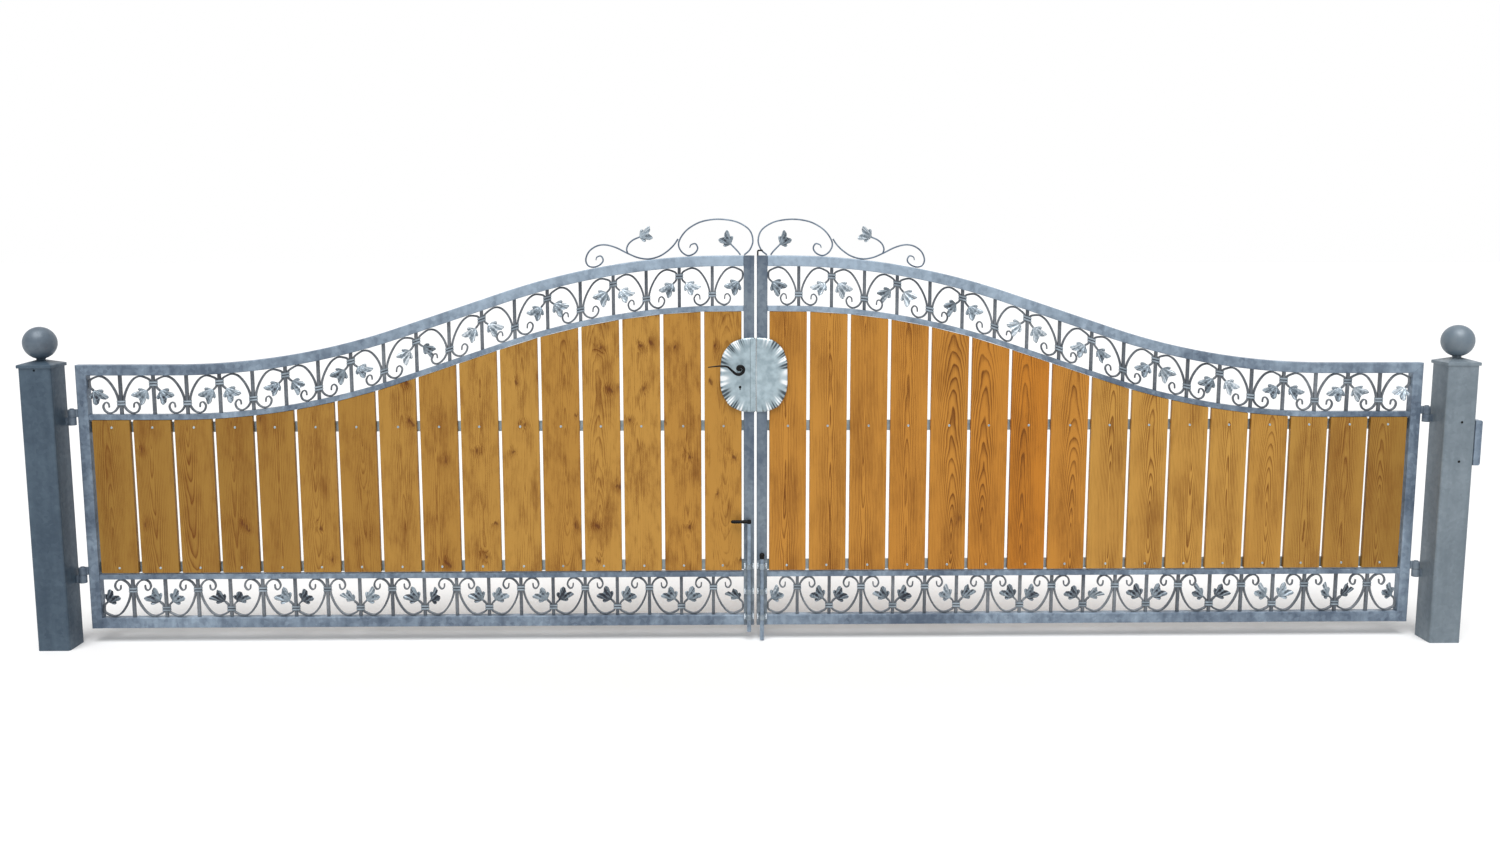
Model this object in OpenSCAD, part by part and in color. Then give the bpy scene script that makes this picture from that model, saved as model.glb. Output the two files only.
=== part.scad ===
// Double-leaf driveway gate: two capped posts carry two boarded steel leaves with scrolled friezes.
// Millimetres. X runs along the gate, Y away from the inner side, Z up; the left post stands on the origin.

/* [Posts] */
// Side of each square post
post_w = 120; // [90:1:180]
// Post height below its cap
post_h = 1078; // [900:1:1500]
// Wall of the hollow post
post_wall = 5; // [3:0.5:10]
// Outer corner radius of the post
post_r = 9; // [6:0.5:14]
// Overhang of the cap on each side
cap_lip = 4; // [1:0.5:15]
// Height of the cap's rim
cap_rim = 12; // [6:1:30]
// Rise of the cap's low pyramid
cap_rise = 15; // [4:1:40]
// Diameter of the neck under the ball
neck_d = 28; // [20:1:60]
// Height of the neck
neck_h = 4.5; // [2:0.5:30]
// Diameter of the ball finial
ball_d = 120; // [80:1:160]
// Vent hole in the left post
vent_d = 8; // [4:1:12]

/* [Leaves] */
// Width of one leaf
leaf_w = 2560; // [2200:1:3000]
// Height of a leaf at its hinge stile
leaf_side_h = 1022; // [900:1:1200]
// Rise of the top rail towards the middle
leaf_rise = 409; // [250:1:550]
// Gap between the leaf and the ground
leaf_lift = 58; // [30:1:120]
// Distance of the leaf's inner face behind the post's middle
leaf_y = 40; // [30:1:45]
// Gap between the two leaves
centre_gap = 10; // [8:0.5:20]
// Gap between post and leaf
hinge_gap = 42; // [38:1:60]
// Depth of the frame tubes
tube_d = 40; // [36:1:60]
// Face width of the hinge stile
stile_w = 40; // [36:1:60]
// Face width of the lock stile
lock_w = 40; // [36:1:60]
// Face height of the top and bottom rails
rail_h = 40; // [36:1:60]

/* [Top curve] */
// Level length at the hinge end
curve_lead = 370; // [200:5:600]
// Level length at the lock end
curve_tail = 105; // [60:5:200]
// Share of the S-curve that is bent, 1 for no straight part
curve_bend = 0.833; // [0.65:0.01:0.95]
// Facets along each bend
curve_steps = 20; // [8:1:40]

/* [Boards] */
// Boards in each leaf
board_count = 16; // [12:1:20]
// Gap between boards
board_gap = 13; // [4:0.5:20]
// Gap between the end boards and the stiles
end_gap = 8; // [4:0.5:20]
// Board thickness
board_t = 20; // [15:1:26]
// Setback of the boards behind the frame's face
board_set = 6; // [3:0.5:12]
// Gap above and below a board
board_play = 5; // [2:0.5:12]
// Height of the flat batten behind the boards
batten_h = 40; // [25:1:50]
// Thickness of the batten
batten_t = 6; // [4:0.5:8]
// Drop of the upper batten below the flat bar
batten_drop = 10; // [0:1:60]

/* [Friezes] */
// Drop from the rail's top to the flat bar under the upper frieze
frieze_drop = 189; // [160:1:240]
// Height of the flat bar above the lower frieze, from the leaf's foot
lower_flat_z = 192; // [160:1:240]
// Height of both flat bars
flat_h = 20; // [12:1:30]
// Depth of both flat bars
flat_d = 30; // [20:1:36]
// Bays in each frieze
bay_count = 20; // [14:1:24]
// Side of the square frieze bars
bar_w = 12; // [8:0.5:16]
// Thickness of the scroll strip
scroll_w = 7; // [5:0.5:10]
// Thickness of the strip at the tip of its curl
curl_w = 4.5; // [3:0.5:7]
// Clearance where a scroll, collar or leaf is seated
seat = 0.3; // [0.2:0.05:0.6]
// Height of a collar
collar_h = 18; // [10:1:24]
// Thickness of a collar
collar_t = 2; // [1.5:0.5:4]
// Slack beside the strips inside a collar
collar_slack = 2; // [1:0.1:4]
// Height of the groove between a collar's two bands
groove_h = 4; // [2:0.5:8]
// Depth of that groove
groove_t = 0.8; // [0.4:0.1:1.2]
// Length of a stamped leaf
frond_l = 60; // [40:1:64]
// Thickness of a stamped leaf
frond_t = 4; // [2:0.5:8]
// Lean of a stamped leaf towards the inner side, in degrees
frond_lean = 14; // [0:1:25]
// How far its veins stand out
vein_t = 1; // [0.5:0.1:2]
// Thickness of the crest scroll in the gate's plane
crest_w = 6; // [4:0.5:9]
// Depth of the crest scroll
crest_d = 8; // [5:0.5:12]
// Length of the crest on one leaf
crest_l = 640; // [560:1:720]
// Length of the stamped leaves on the crest
crest_frond_l = 56; // [40:1:64]

/* [Hinges] */
// Diameter of a hinge pin
pin_d = 16; // [10:0.5:18]
// Radial clearance around pins, bolts and spindle
run_gap = 0.05; // [0.02:0.01:0.09]
// Outside diameter of a hinge eye
eye_d = 30; // [24:0.5:31]
// Height of a whole hinge
hinge_h = 60; // [40:1:80]
// Gap between eye and lug
hinge_play = 0.5; // [0.2:0.1:1]
// Thickness of the hinge's weld-on arm
arm_t = 14; // [8:0.5:15]
// Height of the upper hinge's middle above the leaf's foot
hinge_top_z = 824; // [700:1:900]
// Height of the lower hinge's middle above the leaf's foot
hinge_low_z = 212; // [100:1:300]

/* [Lock] */
// Height of the lock shield
shield_h = 284; // [220:1:320]
// Drop of the shield's middle below the top of the hinge stile
shield_drop = 42; // [0:1:120]
// Reach of the shield from the left leaf's lock edge
shield_left = 130; // [110:1:160]
// Reach of the shield from the right leaf's lock edge
shield_right = 117; // [100:1:150]
// How far the cover strip of the left half reaches over the gap
shield_lap = 4.5; // [2:0.5:5]
// How far the cover strip reaches back from the left leaf's lock edge
cover_in = 16; // [8:1:30]
// Thickness of the cover strip on the shield
cover_t = 2; // [1:0.5:4]
// Shield thickness
shield_t = 3; // [2:0.5:5]
// Depth of the crinkles round the shield's edge
crinkle = 3; // [0:0.5:5]
// Width of a pressed flute at the shield's edge
flute_d = 5.6; // [3:0.2:5.8]
// Width of the flute at its inner end
flute_tip = 1.2; // [0.6:0.2:3]
// Diameter of the keyhole
key_d = 10; // [6:0.5:16]
// Width of the keyhole's slot
key_slot = 4; // [3:0.5:6]
// Length of the keyhole from its round end
key_l = 16; // [12:0.5:24]
// Drop of the keyhole below the spindle
key_drop = 70; // [50:1:85]
// Distance of the spindle from the lock edge
lever_in = 54; // [48:1:70]
// Rise of the spindle above the shield's middle
lever_rise = 24; // [0:1:60]
// Spindle diameter
spindle_d = 12; // [8:0.5:14]
// Diameter of the boss that guides the spindle
boss_d = 26; // [20:0.5:34]
// Length of the boss
boss_l = 9; // [6:0.5:14]
// Stand-off of the lever from the shield
lever_out = 38; // [25:1:60]
// Thickness of the forged lever
lever_t = 11; // [6:0.5:14]
// Thickness of the lever at its tip
lever_tip = 4; // [3:0.5:8]
// Reach of the lever from its spindle
lever_l = 121; // [100:1:135]
// Height of the lock keep on the right post
keep_h = 173; // [120:1:220]
// Foot of the lock keep above the ground
keep_z = 697; // [500:1:800]
// How far the keep stands off the post
keep_out = 26; // [20:1:50]
// Depth of the keep along the post's face
keep_d = 80; // [40:1:110]
// Wall of the keep
keep_wall = 4; // [2:0.5:8]
// Corner radius of the keep
keep_r = 8; // [2:0.5:14]

/* [Drop bolts] */
// Diameter of a drop bolt
bolt_d = 16; // [10:0.5:18]
// Distance of the bolt's axis in front of the leaf
bolt_out = 14; // [13:0.5:20]
// Height of the guide plate
guide_h = 245; // [180:1:320]
// Foot of the guide plate above the leaf's foot
guide_z = 14; // [5:1:40]
// Thickness of the guide plate
guide_t = 4; // [3:0.5:6]
// Height of a guide loop
loop_h = 22; // [12:1:40]
// Width of a guide loop
loop_w = 30; // [24:1:36]
// Loops on each guide plate
loop_count = 3; // [2:1:5]
// Gap between the lowered bolt and the ground
bolt_clear = 3; // [1:0.5:10]
// How far the left bolt is raised
bolt_raised = 33; // [10:1:80]
// Length of the left bolt
left_bolt_l = 428; // [350:1:600]
// Length of the grip on the left bolt
grip_l = 62; // [40:1:90]
// Diameter of the grip
grip_d = 15; // [8:0.5:16]
// Length of the right bolt up to its knob
right_bolt_l = 322; // [300:1:500]
// Diameter of the right bolt's knob
knob_d = 20; // [18:0.5:24]
// Height of the knob
knob_h = 24; // [20:1:40]

/* [Stop hook] */
// Height of the hook over the right top rail
hook_h = 22; // [12:1:40]
// Reach of the hook
hook_l = 22; // [12:1:40]
// Thickness of the hook
hook_t = 6; // [4:0.5:10]

/* [Hidden] */
$fn = 64;
inner_w = leaf_w - stile_w - lock_w;
leaf_x = post_w / 2 + hinge_gap;
span = 2 * (leaf_x + leaf_w) + centre_gap;
tube_mid = tube_d / 2;
lock_x = leaf_w - lock_w;
board_w = (inner_w - 2 * end_gap - (board_count - 1) * board_gap) / board_count;
board_foot = lower_flat_z + flat_h + board_play;
upper_batten_z = leaf_side_h - frieze_drop - flat_h - batten_drop - batten_h;
bay = (inner_w - (bay_count - 1) * bar_w) / bay_count;
run = leaf_w - curve_lead - curve_tail;
theta = curve_bend * 2 * atan(leaf_rise / run);
bend_r = (run * tan(theta) - leaf_rise) * cos(theta) / (1 - cos(theta)) / 2;
top_z = leaf_side_h + leaf_rise;
tail_x = leaf_w - curve_tail;
cap_w = post_w + 2 * cap_lip;
cap_top = post_h + cap_rim + cap_rise + neck_h;
ball_sink = ball_d / 2 - sqrt(pow(ball_d / 2, 2) - pow(neck_d / 2, 2));
ball_z = cap_top + ball_d / 2 - ball_sink;
pin_x = post_w / 2 + hinge_gap / 2;
bolt_in = lock_w / 2;
low_tip_z = bolt_clear - leaf_lift;
pin_over = pin_d / 4;
shield_z = leaf_side_h - shield_drop;
lever_z = shield_z + lever_rise;
// Extra length of a cutter past the wall that it cuts
cut = 1;

// Scroll strip of one bay: [across from the curl's bar to the leaf's bar, up from the curl's side]
scroll_line = [
    [0.35, 0.15], [0.37, 0.26], [0.47, 0.29], [0.56, 0.19], [0.50, 0.06], [0.33, 0.00], [0.14, 0.06],
    [0.02, 0.18], [0.00, 0.28], [0.02, 0.42], [0.10, 0.60], [0.24, 0.79], [0.42, 0.94], [0.64, 1.00],
    [0.86, 0.95], [0.98, 0.89], [1.00, 0.80], [0.98, 0.70], [0.88, 0.62]
];
// Where the two collars bind the strip, as places in scroll_line
curl_collar = 8;
frond_collar = 16;
// Places of scroll_line over which the curl's tip thickens
curl_taper = 5;
// Half outline of a stamped leaf with two short and two long lobes: [along, across], as shares of its length
frond_half = [
    [0.00, 0.05], [0.10, 0.06], [0.17, 0.17], [0.23, 0.33], [0.33, 0.45], [0.42, 0.46], [0.44, 0.37],
    [0.42, 0.29], [0.56, 0.35], [0.74, 0.46], [0.90, 0.48], [0.98, 0.44], [0.94, 0.33], [0.84, 0.20],
    [0.73, 0.09], [0.68, 0.01]
];
// Half outline of its forked vein
vein_half = [[0.02, 0.03], [0.32, 0.16], [0.90, 0.44], [0.40, 0.13], [0.60, 0.01]];
// Crest strips: [in from the lock edge, above the rail], drawn for a crest of crest_drawn
crest_drawn = 640;
crest_loop = [
    [38, 2.5], [16, 22], [5, 56], [18, 95], [60, 123], [112, 134], [162, 134], [212, 123], [258, 95],
    [284, 55], [277, 24], [252, 4], [226, 10], [213, 28], [221, 46], [238, 43], [243, 32]
];
crest_sway = [
    [287, 68], [302, 47], [326, 26], [358, 9], [398, 3.2], [438, 13], [478, 35], [520, 62], [560, 79],
    [594, 80], [622, 65], [634, 38], [626, 14], [604, 4], [580, 9], [569, 23], [577, 40], [592, 39], [596, 28]
];
crest_twig = [[476, 34], [480, 50], [473, 68], [456, 81], [434, 88]];
crest_stem = [[52, 2.1], [60, 13], [72, 26], [86, 40]];
// Roundness of the shield's outline, its crinkles, the steps of each, and where its flutes start
shield_power = 2.7;
shield_waves = 13;
shield_steps = 4;
flute_start = 0.72;
// Forged lever: [away from the lock edge, up], from the spindle, drawn for a reach of lever_drawn
lever_drawn = 121;
lever_line = [
    [3, 0], [9, 4], [6, 12], [-5, 13], [-13, 4], [-10, -9], [3, -17], [18, -14], [32, -2], [49, 12],
    [70, 15], [96, 13], [121, 10]
];

// Node to draw, or "all"

// The top rail's upper edge, or the line d below and parallel to it
function edge(x, d) =
    x <= curve_lead ? leaf_side_h - d
    : x <= curve_lead + (bend_r + d) * sin(theta)
        ? leaf_side_h + bend_r - sqrt(pow(bend_r + d, 2) - pow(x - curve_lead, 2))
    : x < tail_x - (bend_r - d) * sin(theta)
        ? leaf_side_h + bend_r * (1 - cos(theta)) + (x - curve_lead - bend_r * sin(theta)) * tan(theta)
            - d / cos(theta)
    : x < tail_x ? top_z - bend_r + sqrt(pow(bend_r - d, 2) - pow(tail_x - x, 2))
    : top_z - d;

// Stations along the line d below the rail's edge
function stations(d) = concat(
    [for (i = [0 : curve_steps]) curve_lead + (bend_r + d) * sin(theta * i / curve_steps)],
    [for (i = [curve_steps : -1 : 0]) tail_x - (bend_r - d) * sin(theta * i / curve_steps)]
);

function edge_line(x0, x1, d, drop) = [
    for (x = concat([x0], [for (s = stations(d)) if (s > x0 && s < x1) s], [x1])) [x, edge(x, d) - drop]
];
function reversed(list) = [for (i = [len(list) - 1 : -1 : 0]) list[i]];

// Room of the upper and lower friezes at a place along the leaf
function upper_floor(x) = edge(x, 0) - frieze_drop;
function upper_roof(x) = edge(x, rail_h);

// Smooth line through points, two steps to a span
function spline_at(p, i, t) =
    let (a = p[max(i - 1, 0)], b = p[i], c = p[i + 1], d = p[min(i + 2, len(p) - 1)])
    0.5 * (2 * b + (c - a) * t + (2 * a - 5 * b + 4 * c - d) * t * t + (3 * b - a - 3 * c + d) * t * t * t);
function spline(p) = concat(
    [for (i = [0 : len(p) - 2], t = [0, 0.5]) spline_at(p, i, t)],
    [p[len(p) - 1]]
);
function unit(v) = v / norm(v);
function side_of(p, i) =
    let (v = unit(p[min(i + 1, len(p) - 1)] - p[max(i - 1, 0)])) [-v[1], v[0]];
// Outline of a strip along a line: its first point is tip wide, and it is w wide from point n on
function strip(p, w, tip, n) =
    let (half = [for (i = [0 : len(p) - 1]) (tip + (w - tip) * min(1, i / n)) / 2])
    concat(
        [for (i = [0 : len(p) - 1]) p[i] + side_of(p, i) * half[i]],
        [for (i = [len(p) - 1 : -1 : 0]) p[i] - side_of(p, i) * half[i]]
    );
function scroll_strip(p) = strip(p, scroll_w, curl_w, 2 * curl_taper);
function crest_strip(list) = strip(crest_line(list), crest_w, crest_w, 1);
// Both halves of an outline along the x axis, l long
function both_halves(half, l) = concat(half * l, [for (q = reversed(half)) [q[0], -q[1]] * l]);

function bay_x(k) = stile_w + k * (bay + bar_w);
function scroll_x(k, a) =
    let (in = scroll_w / 2 + seat, x = in + a * (bay - 2 * in))
    bay_x(k) + (k % 2 == 0 ? bay - x : x);
function scroll_set() = scroll_w / 2 / cos(theta) + seat;
function upper_point(k, p) =
    let (x = scroll_x(k, p[0]), f = upper_floor(x), r = upper_roof(x))
    [x, f + scroll_set() + p[1] * (r - f - 2 * scroll_set())];
function lower_point(k, p) =
    let (in = scroll_w / 2 + seat)
    [scroll_x(k, p[0]), lower_flat_z - in - p[1] * (lower_flat_z - rail_h - 2 * in)];
function upper_line(k) = spline([for (p = scroll_line) upper_point(k, p)]);
function lower_line(k) = spline([for (p = scroll_line) lower_point(k, p)]);
function crest_line(list) = spline([
    for (p = list * crest_l / crest_drawn) [leaf_w - p[0], edge(leaf_w - p[0], 0) + p[1]]
]);

// Draws a flat outline upright in the gate's plane, from y to y + d
module upright(y, d) {
    translate([0, y + d, 0])
        rotate([90, 0, 0])
            linear_extrude(d)
                children();
}

module on_left() {
    translate([leaf_x, leaf_y, leaf_lift])
        children();
}

module on_right() {
    translate([span - leaf_x, leaf_y, leaf_lift])
        mirror([1, 0, 0])
            children();
}

module mirrored() {
    translate([span, 0, 0])
        mirror([1, 0, 0])
            children();
}

// Rectangle with round corners, centred
module rounded(w, h, r) {
    square([w - 2 * r, h], center = true);
    square([w, h - 2 * r], center = true);
    for (x = [-1, 1], y = [-1, 1])
        translate([x * (w / 2 - r), y * (h / 2 - r)])
            circle(r);
}

// Posts
module post_tube() {
    bore = post_w - 2 * post_wall;
    linear_extrude(post_h)
        difference() {
            rounded(post_w, post_w, post_r);
            rounded(bore, bore, post_r - post_wall);
        }
}

module left_post() {
    color("slategray")
        difference() {
            post_tube();
            translate([0, 0, post_h - vent_d])
                rotate([90, 0, 0])
                    cylinder(d = vent_d, h = post_w);
        }
}

module right_post() {
    color("slategray")
        translate([span, 0, 0])
            post_tube();
}

module cap_body() {
    w = cap_w / 2;
    n = neck_d / 2;
    translate([0, 0, post_h]) {
        translate([-w, -w, 0])
            cube([cap_w, cap_w, cap_rim]);
        translate([0, 0, cap_rim])
            polyhedron(
                points = [
                    [-w, -w, 0], [w, -w, 0], [w, w, 0], [-w, w, 0],
                    [-n, -n, cap_rise], [n, -n, cap_rise], [n, n, cap_rise], [-n, n, cap_rise]
                ],
                faces = [
                    [0, 1, 2, 3], [7, 6, 5, 4], [4, 5, 1, 0], [5, 6, 2, 1], [6, 7, 3, 2], [7, 4, 0, 3]
                ]
            );
        translate([0, 0, cap_rim + cap_rise])
            cylinder(d = neck_d, h = neck_h);
    }
}

module left_cap() {
    color("slategray")
        cap_body();
}

module right_cap() {
    color("slategray")
        translate([span, 0, 0])
            cap_body();
}

module ball_body() {
    difference() {
        translate([0, 0, ball_z])
            sphere(d = ball_d);
        translate([-ball_d / 2, -ball_d / 2, cap_top - ball_d])
            cube([ball_d, ball_d, ball_d]);
    }
}

module left_ball() {
    color("slategray")
        ball_body();
}

module right_ball() {
    color("slategray")
        translate([span, 0, 0])
            ball_body();
}

// Hinges: a lug with a pin on the post, an eye on the leaf
module hinge_lug(z) {
    low = leaf_lift + z - hinge_h / 2;
    h = hinge_h / 2 - hinge_play / 2;
    translate([post_w / 2, leaf_y - arm_t / 2, low])
        cube([hinge_gap / 2, arm_t, h]);
    translate([pin_x, leaf_y, low])
        cylinder(d = eye_d, h = h);
    translate([pin_x, leaf_y, low])
        cylinder(d = pin_d, h = hinge_h + pin_over);
}

module hinge_lugs() {
    hinge_lug(hinge_top_z);
    hinge_lug(hinge_low_z);
}

module left_hinge_lugs() {
    color("dimgray")
        hinge_lugs();
}

module right_hinge_lugs() {
    color("dimgray")
        mirrored()
            hinge_lugs();
}

module hinge_eye(z) {
    h = hinge_h / 2 - hinge_play / 2;
    translate([0, 0, z + hinge_play / 2])
        difference() {
            union() {
                translate([-hinge_gap / 2, 0, 0])
                    cylinder(d = eye_d, h = h);
                translate([-hinge_gap / 2, 0, 0])
                    cube([hinge_gap / 2, arm_t, h]);
            }
            translate([-hinge_gap / 2, 0, -cut])
                cylinder(d = pin_d + 2 * run_gap, h = h + 2 * cut);
        }
}

module hinge_eyes() {
    hinge_eye(hinge_top_z);
    hinge_eye(hinge_low_z);
}

module left_hinge_eyes() {
    color("dimgray")
        on_left()
            hinge_eyes();
}

module right_hinge_eyes() {
    color("dimgray")
        on_right()
            hinge_eyes();
}

// Frame of a leaf
module hinge_stile() {
    upright(0, tube_d)
        polygon([[0, 0], [stile_w, 0], [stile_w, leaf_side_h - rail_h], [0, leaf_side_h]]);
}

module lock_stile() {
    translate([lock_x, 0, 0])
        cube([lock_w, tube_d, top_z]);
}

// Bar whose top is drop below the rail's edge
module curved_bar(x0, x1, h, drop) {
    polygon(concat(edge_line(x0, x1, 0, drop), reversed(edge_line(x0, x1, h, drop))));
}

// Mitred to the hinge stile, and butted against the lock stile
module top_rail() {
    upright(0, tube_d)
        polygon(concat(edge_line(0, lock_x, 0, 0), reversed(edge_line(stile_w, lock_x, rail_h, 0))));
}

module bottom_rail() {
    translate([stile_w, 0, 0])
        cube([inner_w, tube_d, rail_h]);
}

module flats() {
    y = (tube_d - flat_d) / 2;
    upright(y, flat_d)
        curved_bar(stile_w, lock_x, flat_h, frieze_drop);
    translate([stile_w, y, lower_flat_z])
        cube([inner_w, flat_d, flat_h]);
}

module battens() {
    y = board_set + board_t;
    for (z = [board_foot, upper_batten_z])
        translate([stile_w, y, z])
            cube([inner_w, batten_t, batten_h]);
}

// Boards, each sawn to the slope of the flat bar over it
function board_top(x) = edge(x, flat_h) - frieze_drop - board_play;

module boards() {
    for (i = [0 : board_count - 1]) {
        x0 = stile_w + end_gap + i * (board_w + board_gap);
        x1 = x0 + board_w;
        upright(board_set, board_t)
            polygon([[x0, board_foot], [x1, board_foot], [x1, board_top(x1)], [x0, board_top(x0)]]);
    }
}

module left_hinge_stile() {
    color("slategray")
        on_left()
            hinge_stile();
}

module right_hinge_stile() {
    color("slategray")
        on_right()
            hinge_stile();
}

module left_lock_stile() {
    color("slategray")
        on_left()
            lock_stile();
}

module right_lock_stile() {
    color("slategray")
        on_right()
            lock_stile();
}

module left_top_rail() {
    color("slategray")
        on_left()
            top_rail();
}

module right_top_rail() {
    color("slategray")
        on_right()
            top_rail();
}

module left_bottom_rail() {
    color("slategray")
        on_left()
            bottom_rail();
}

module right_bottom_rail() {
    color("slategray")
        on_right()
            bottom_rail();
}

module left_flats() {
    color("slategray")
        on_left()
            flats();
}

module right_flats() {
    color("slategray")
        on_right()
            flats();
}

module left_battens() {
    color("slategray")
        on_left()
            battens();
}

module right_battens() {
    color("slategray")
        on_right()
            battens();
}

module left_boards() {
    color("peru")
        on_left()
            boards();
}

module right_boards() {
    color("peru")
        on_right()
            boards();
}

// Friezes
module bars() {
    y = tube_mid - bar_w / 2;
    for (k = [0 : bay_count - 2]) {
        x0 = bay_x(k) + bay;
        x1 = x0 + bar_w;
        upright(y, bar_w)
            polygon([
                [x0, upper_floor(x0) + seat], [x1, upper_floor(x1) + seat],
                [x1, upper_roof(x1) - seat], [x0, upper_roof(x0) - seat]
            ]);
        translate([x0, y, rail_h])
            cube([bar_w, bar_w, lower_flat_z - rail_h]);
    }
}

module scrolls() {
    for (k = [0 : bay_count - 1])
        upright(tube_mid - bar_w / 2, bar_w) {
            polygon(scroll_strip(upper_line(k)));
            polygon(scroll_strip(lower_line(k)));
        }
}

// Stamped leaf that grows on from the end of a line and leans out: a lobed plate with veins on both faces
module frond(line, l) {
    n = len(line) - 1;
    along = unit(line[n] - line[n - 1]);
    foot = line[n] + along * (seat + frond_t / 2 * sin(frond_lean));
    translate([foot[0], tube_mid, foot[1]])
        rotate([0, -atan2(along[1], along[0]), 0])
            rotate([0, 0, -frond_lean]) {
                upright(-frond_t / 2, frond_t)
                    polygon(both_halves(frond_half, l));
                upright(-frond_t / 2 - vein_t, frond_t + 2 * vein_t)
                    polygon(both_halves(vein_half, l));
            }
}

module fronds() {
    for (k = [0 : bay_count - 1]) {
        frond(upper_line(k), frond_l);
        frond(lower_line(k), frond_l);
    }
    for (list = [crest_twig, crest_stem])
        frond(crest_line(list), crest_frond_l);
}

// One-piece collar round a bar and the strips on both sides of it, with two bands; a and b are the
// places [x, z] of those strips, and the collar leans with them
module collar(a, b) {
    slope = (b[1] - a[1]) / (b[0] - a[0]);
    room = bar_w / 2 + scroll_w + seat + collar_slack;
    clear = bar_w / 2 + seat / 2;
    band = (collar_h - groove_h) / 2;
    inset = collar_t - groove_t;
    core = groove_h + 2 * cut;
    translate([(a[0] + b[0]) / 2, tube_mid, (a[1] + b[1]) / 2])
        difference() {
            union() {
                for (z = [-collar_h / 2, groove_h / 2])
                    collar_band(room + collar_t, clear + collar_t, slope, z, band);
                collar_band(room + inset, clear + inset, slope, -core / 2, core);
            }
            translate([-room, -clear, -collar_h])
                cube([2 * room, 2 * clear, 2 * collar_h]);
        }
}

module collar_band(w, d, slope, z, h) {
    upright(-d, 2 * d)
        polygon([[-w, z - slope * w], [w, z + slope * w], [w, z + slope * w + h], [-w, z - slope * w + h]]);
}

module collars() {
    for (k = [0 : bay_count - 2]) {
        place = scroll_line[k % 2 == 0 ? curl_collar : frond_collar];
        collar(upper_point(k, place), upper_point(k + 1, place));
        collar(lower_point(k, place), lower_point(k + 1, place));
    }
}

module crest() {
    upright(tube_mid - crest_d / 2, crest_d)
        for (list = [crest_loop, crest_sway, crest_twig, crest_stem])
            polygon(crest_strip(list));
}

module left_bars() {
    color("slategray")
        on_left()
            bars();
}

module right_bars() {
    color("slategray")
        on_right()
            bars();
}

module left_scrolls() {
    color("lightslategray")
        on_left()
            scrolls();
}

module right_scrolls() {
    color("lightslategray")
        on_right()
            scrolls();
}

module left_fronds() {
    color("silver")
        on_left()
            fronds();
}

module right_fronds() {
    color("silver")
        on_right()
            fronds();
}

module left_collars() {
    color("slategray")
        on_left()
            collars();
}

module right_collars() {
    color("slategray")
        on_right()
            collars();
}

module left_crest() {
    color("lightslategray")
        on_left()
            crest();
}

module right_crest() {
    color("lightslategray")
        on_right()
            crest();
}

// Lock shield: a barrel-shaped half plate with a crinkled, fluted edge, x from the lock edge inwards
function round_side(v) = sign(v) * pow(abs(v), 2 / shield_power);
function shield_point(reach, a, r) = r * [reach * round_side(cos(a)), shield_h / 2 * round_side(sin(a))];
function shield_outline(reach) = [
    for (i = [0 : shield_waves * shield_steps])
        shield_point(
            reach,
            90 - 180 * i / (shield_waves * shield_steps),
            1 - crinkle / reach * (1 - cos(360 * i / shield_steps)) / 2
        )
];

// Flute pressed out of the plate, a cone that widens to a crest of the edge
module flute(reach, i) {
    tip = shield_point(reach, 90 - 180 * i / shield_waves, flute_start);
    edge_end = shield_point(reach, 90 - 180 * i / shield_waves, 1 - flute_d / 4 / reach);
    translate([-tip[0], -shield_t, tip[1]])
        rotate([0, atan2(tip[0] - edge_end[0], edge_end[1] - tip[1]), 0])
            cylinder(d1 = flute_tip, d2 = flute_d, h = norm(edge_end - tip));
}

module shield_half(reach) {
    translate([leaf_w, 0, shield_z]) {
        upright(-shield_t, shield_t)
            mirror([1, 0, 0])
                polygon(shield_outline(reach));
        for (i = [1 : shield_waves - 1])
            flute(reach, i);
    }
}

module cover_strip() {
    h = shield_h - 2 * crinkle;
    translate([leaf_w - cover_in, -shield_t - cover_t, shield_z - h / 2])
        cube([cover_in + shield_lap, shield_t + cover_t, h]);
}

module keyhole() {
    upright(-shield_t - cut, shield_t + 2 * cut) {
        circle(d = key_d);
        translate([-key_slot / 2, -key_l + key_d / 2])
            square([key_slot, key_l - key_d / 2]);
    }
}

module left_shield() {
    color("silver")
        on_left()
            difference() {
                union() {
                    shield_half(shield_left);
                    cover_strip();
                    translate([leaf_w - lever_in, 0, lever_z])
                        rotate([90, 0, 0])
                            cylinder(d = boss_d, h = shield_t + boss_l);
                }
                translate([leaf_w - lever_in, cut, lever_z])
                    rotate([90, 0, 0])
                        cylinder(d = spindle_d + 2 * run_gap, h = shield_t + boss_l + 2 * cut);
                translate([leaf_w - lever_in, 0, lever_z - key_drop])
                    keyhole();
            }
}

module right_shield() {
    color("silver")
        on_right()
            shield_half(shield_right);
}

// Lever: a forged bar that tapers to its tip, curled round the end of its spindle
module lever() {
    line = spline(lever_line * lever_l / lever_drawn);
    bar = shield_t + lever_out;
    color("dimgray")
        on_left()
            translate([leaf_w - lever_in, 0, lever_z]) {
                rotate([90, 0, 0])
                    cylinder(d = spindle_d, h = bar + lever_t / 2);
                upright(-bar - lever_t, lever_t)
                    mirror([1, 0, 0])
                        polygon(strip(reversed(line), lever_t, lever_tip, len(line)));
            }
}

module lock_keep() {
    mouth = keep_h / 3;
    color("slategray")
        translate([span + post_w / 2, -post_w / 2, keep_z])
            difference() {
                upright(0, keep_d)
                    keep_outline();
                translate([keep_wall, keep_wall, mouth])
                    cube([keep_out, keep_d - 2 * keep_wall, mouth]);
            }
}

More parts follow.
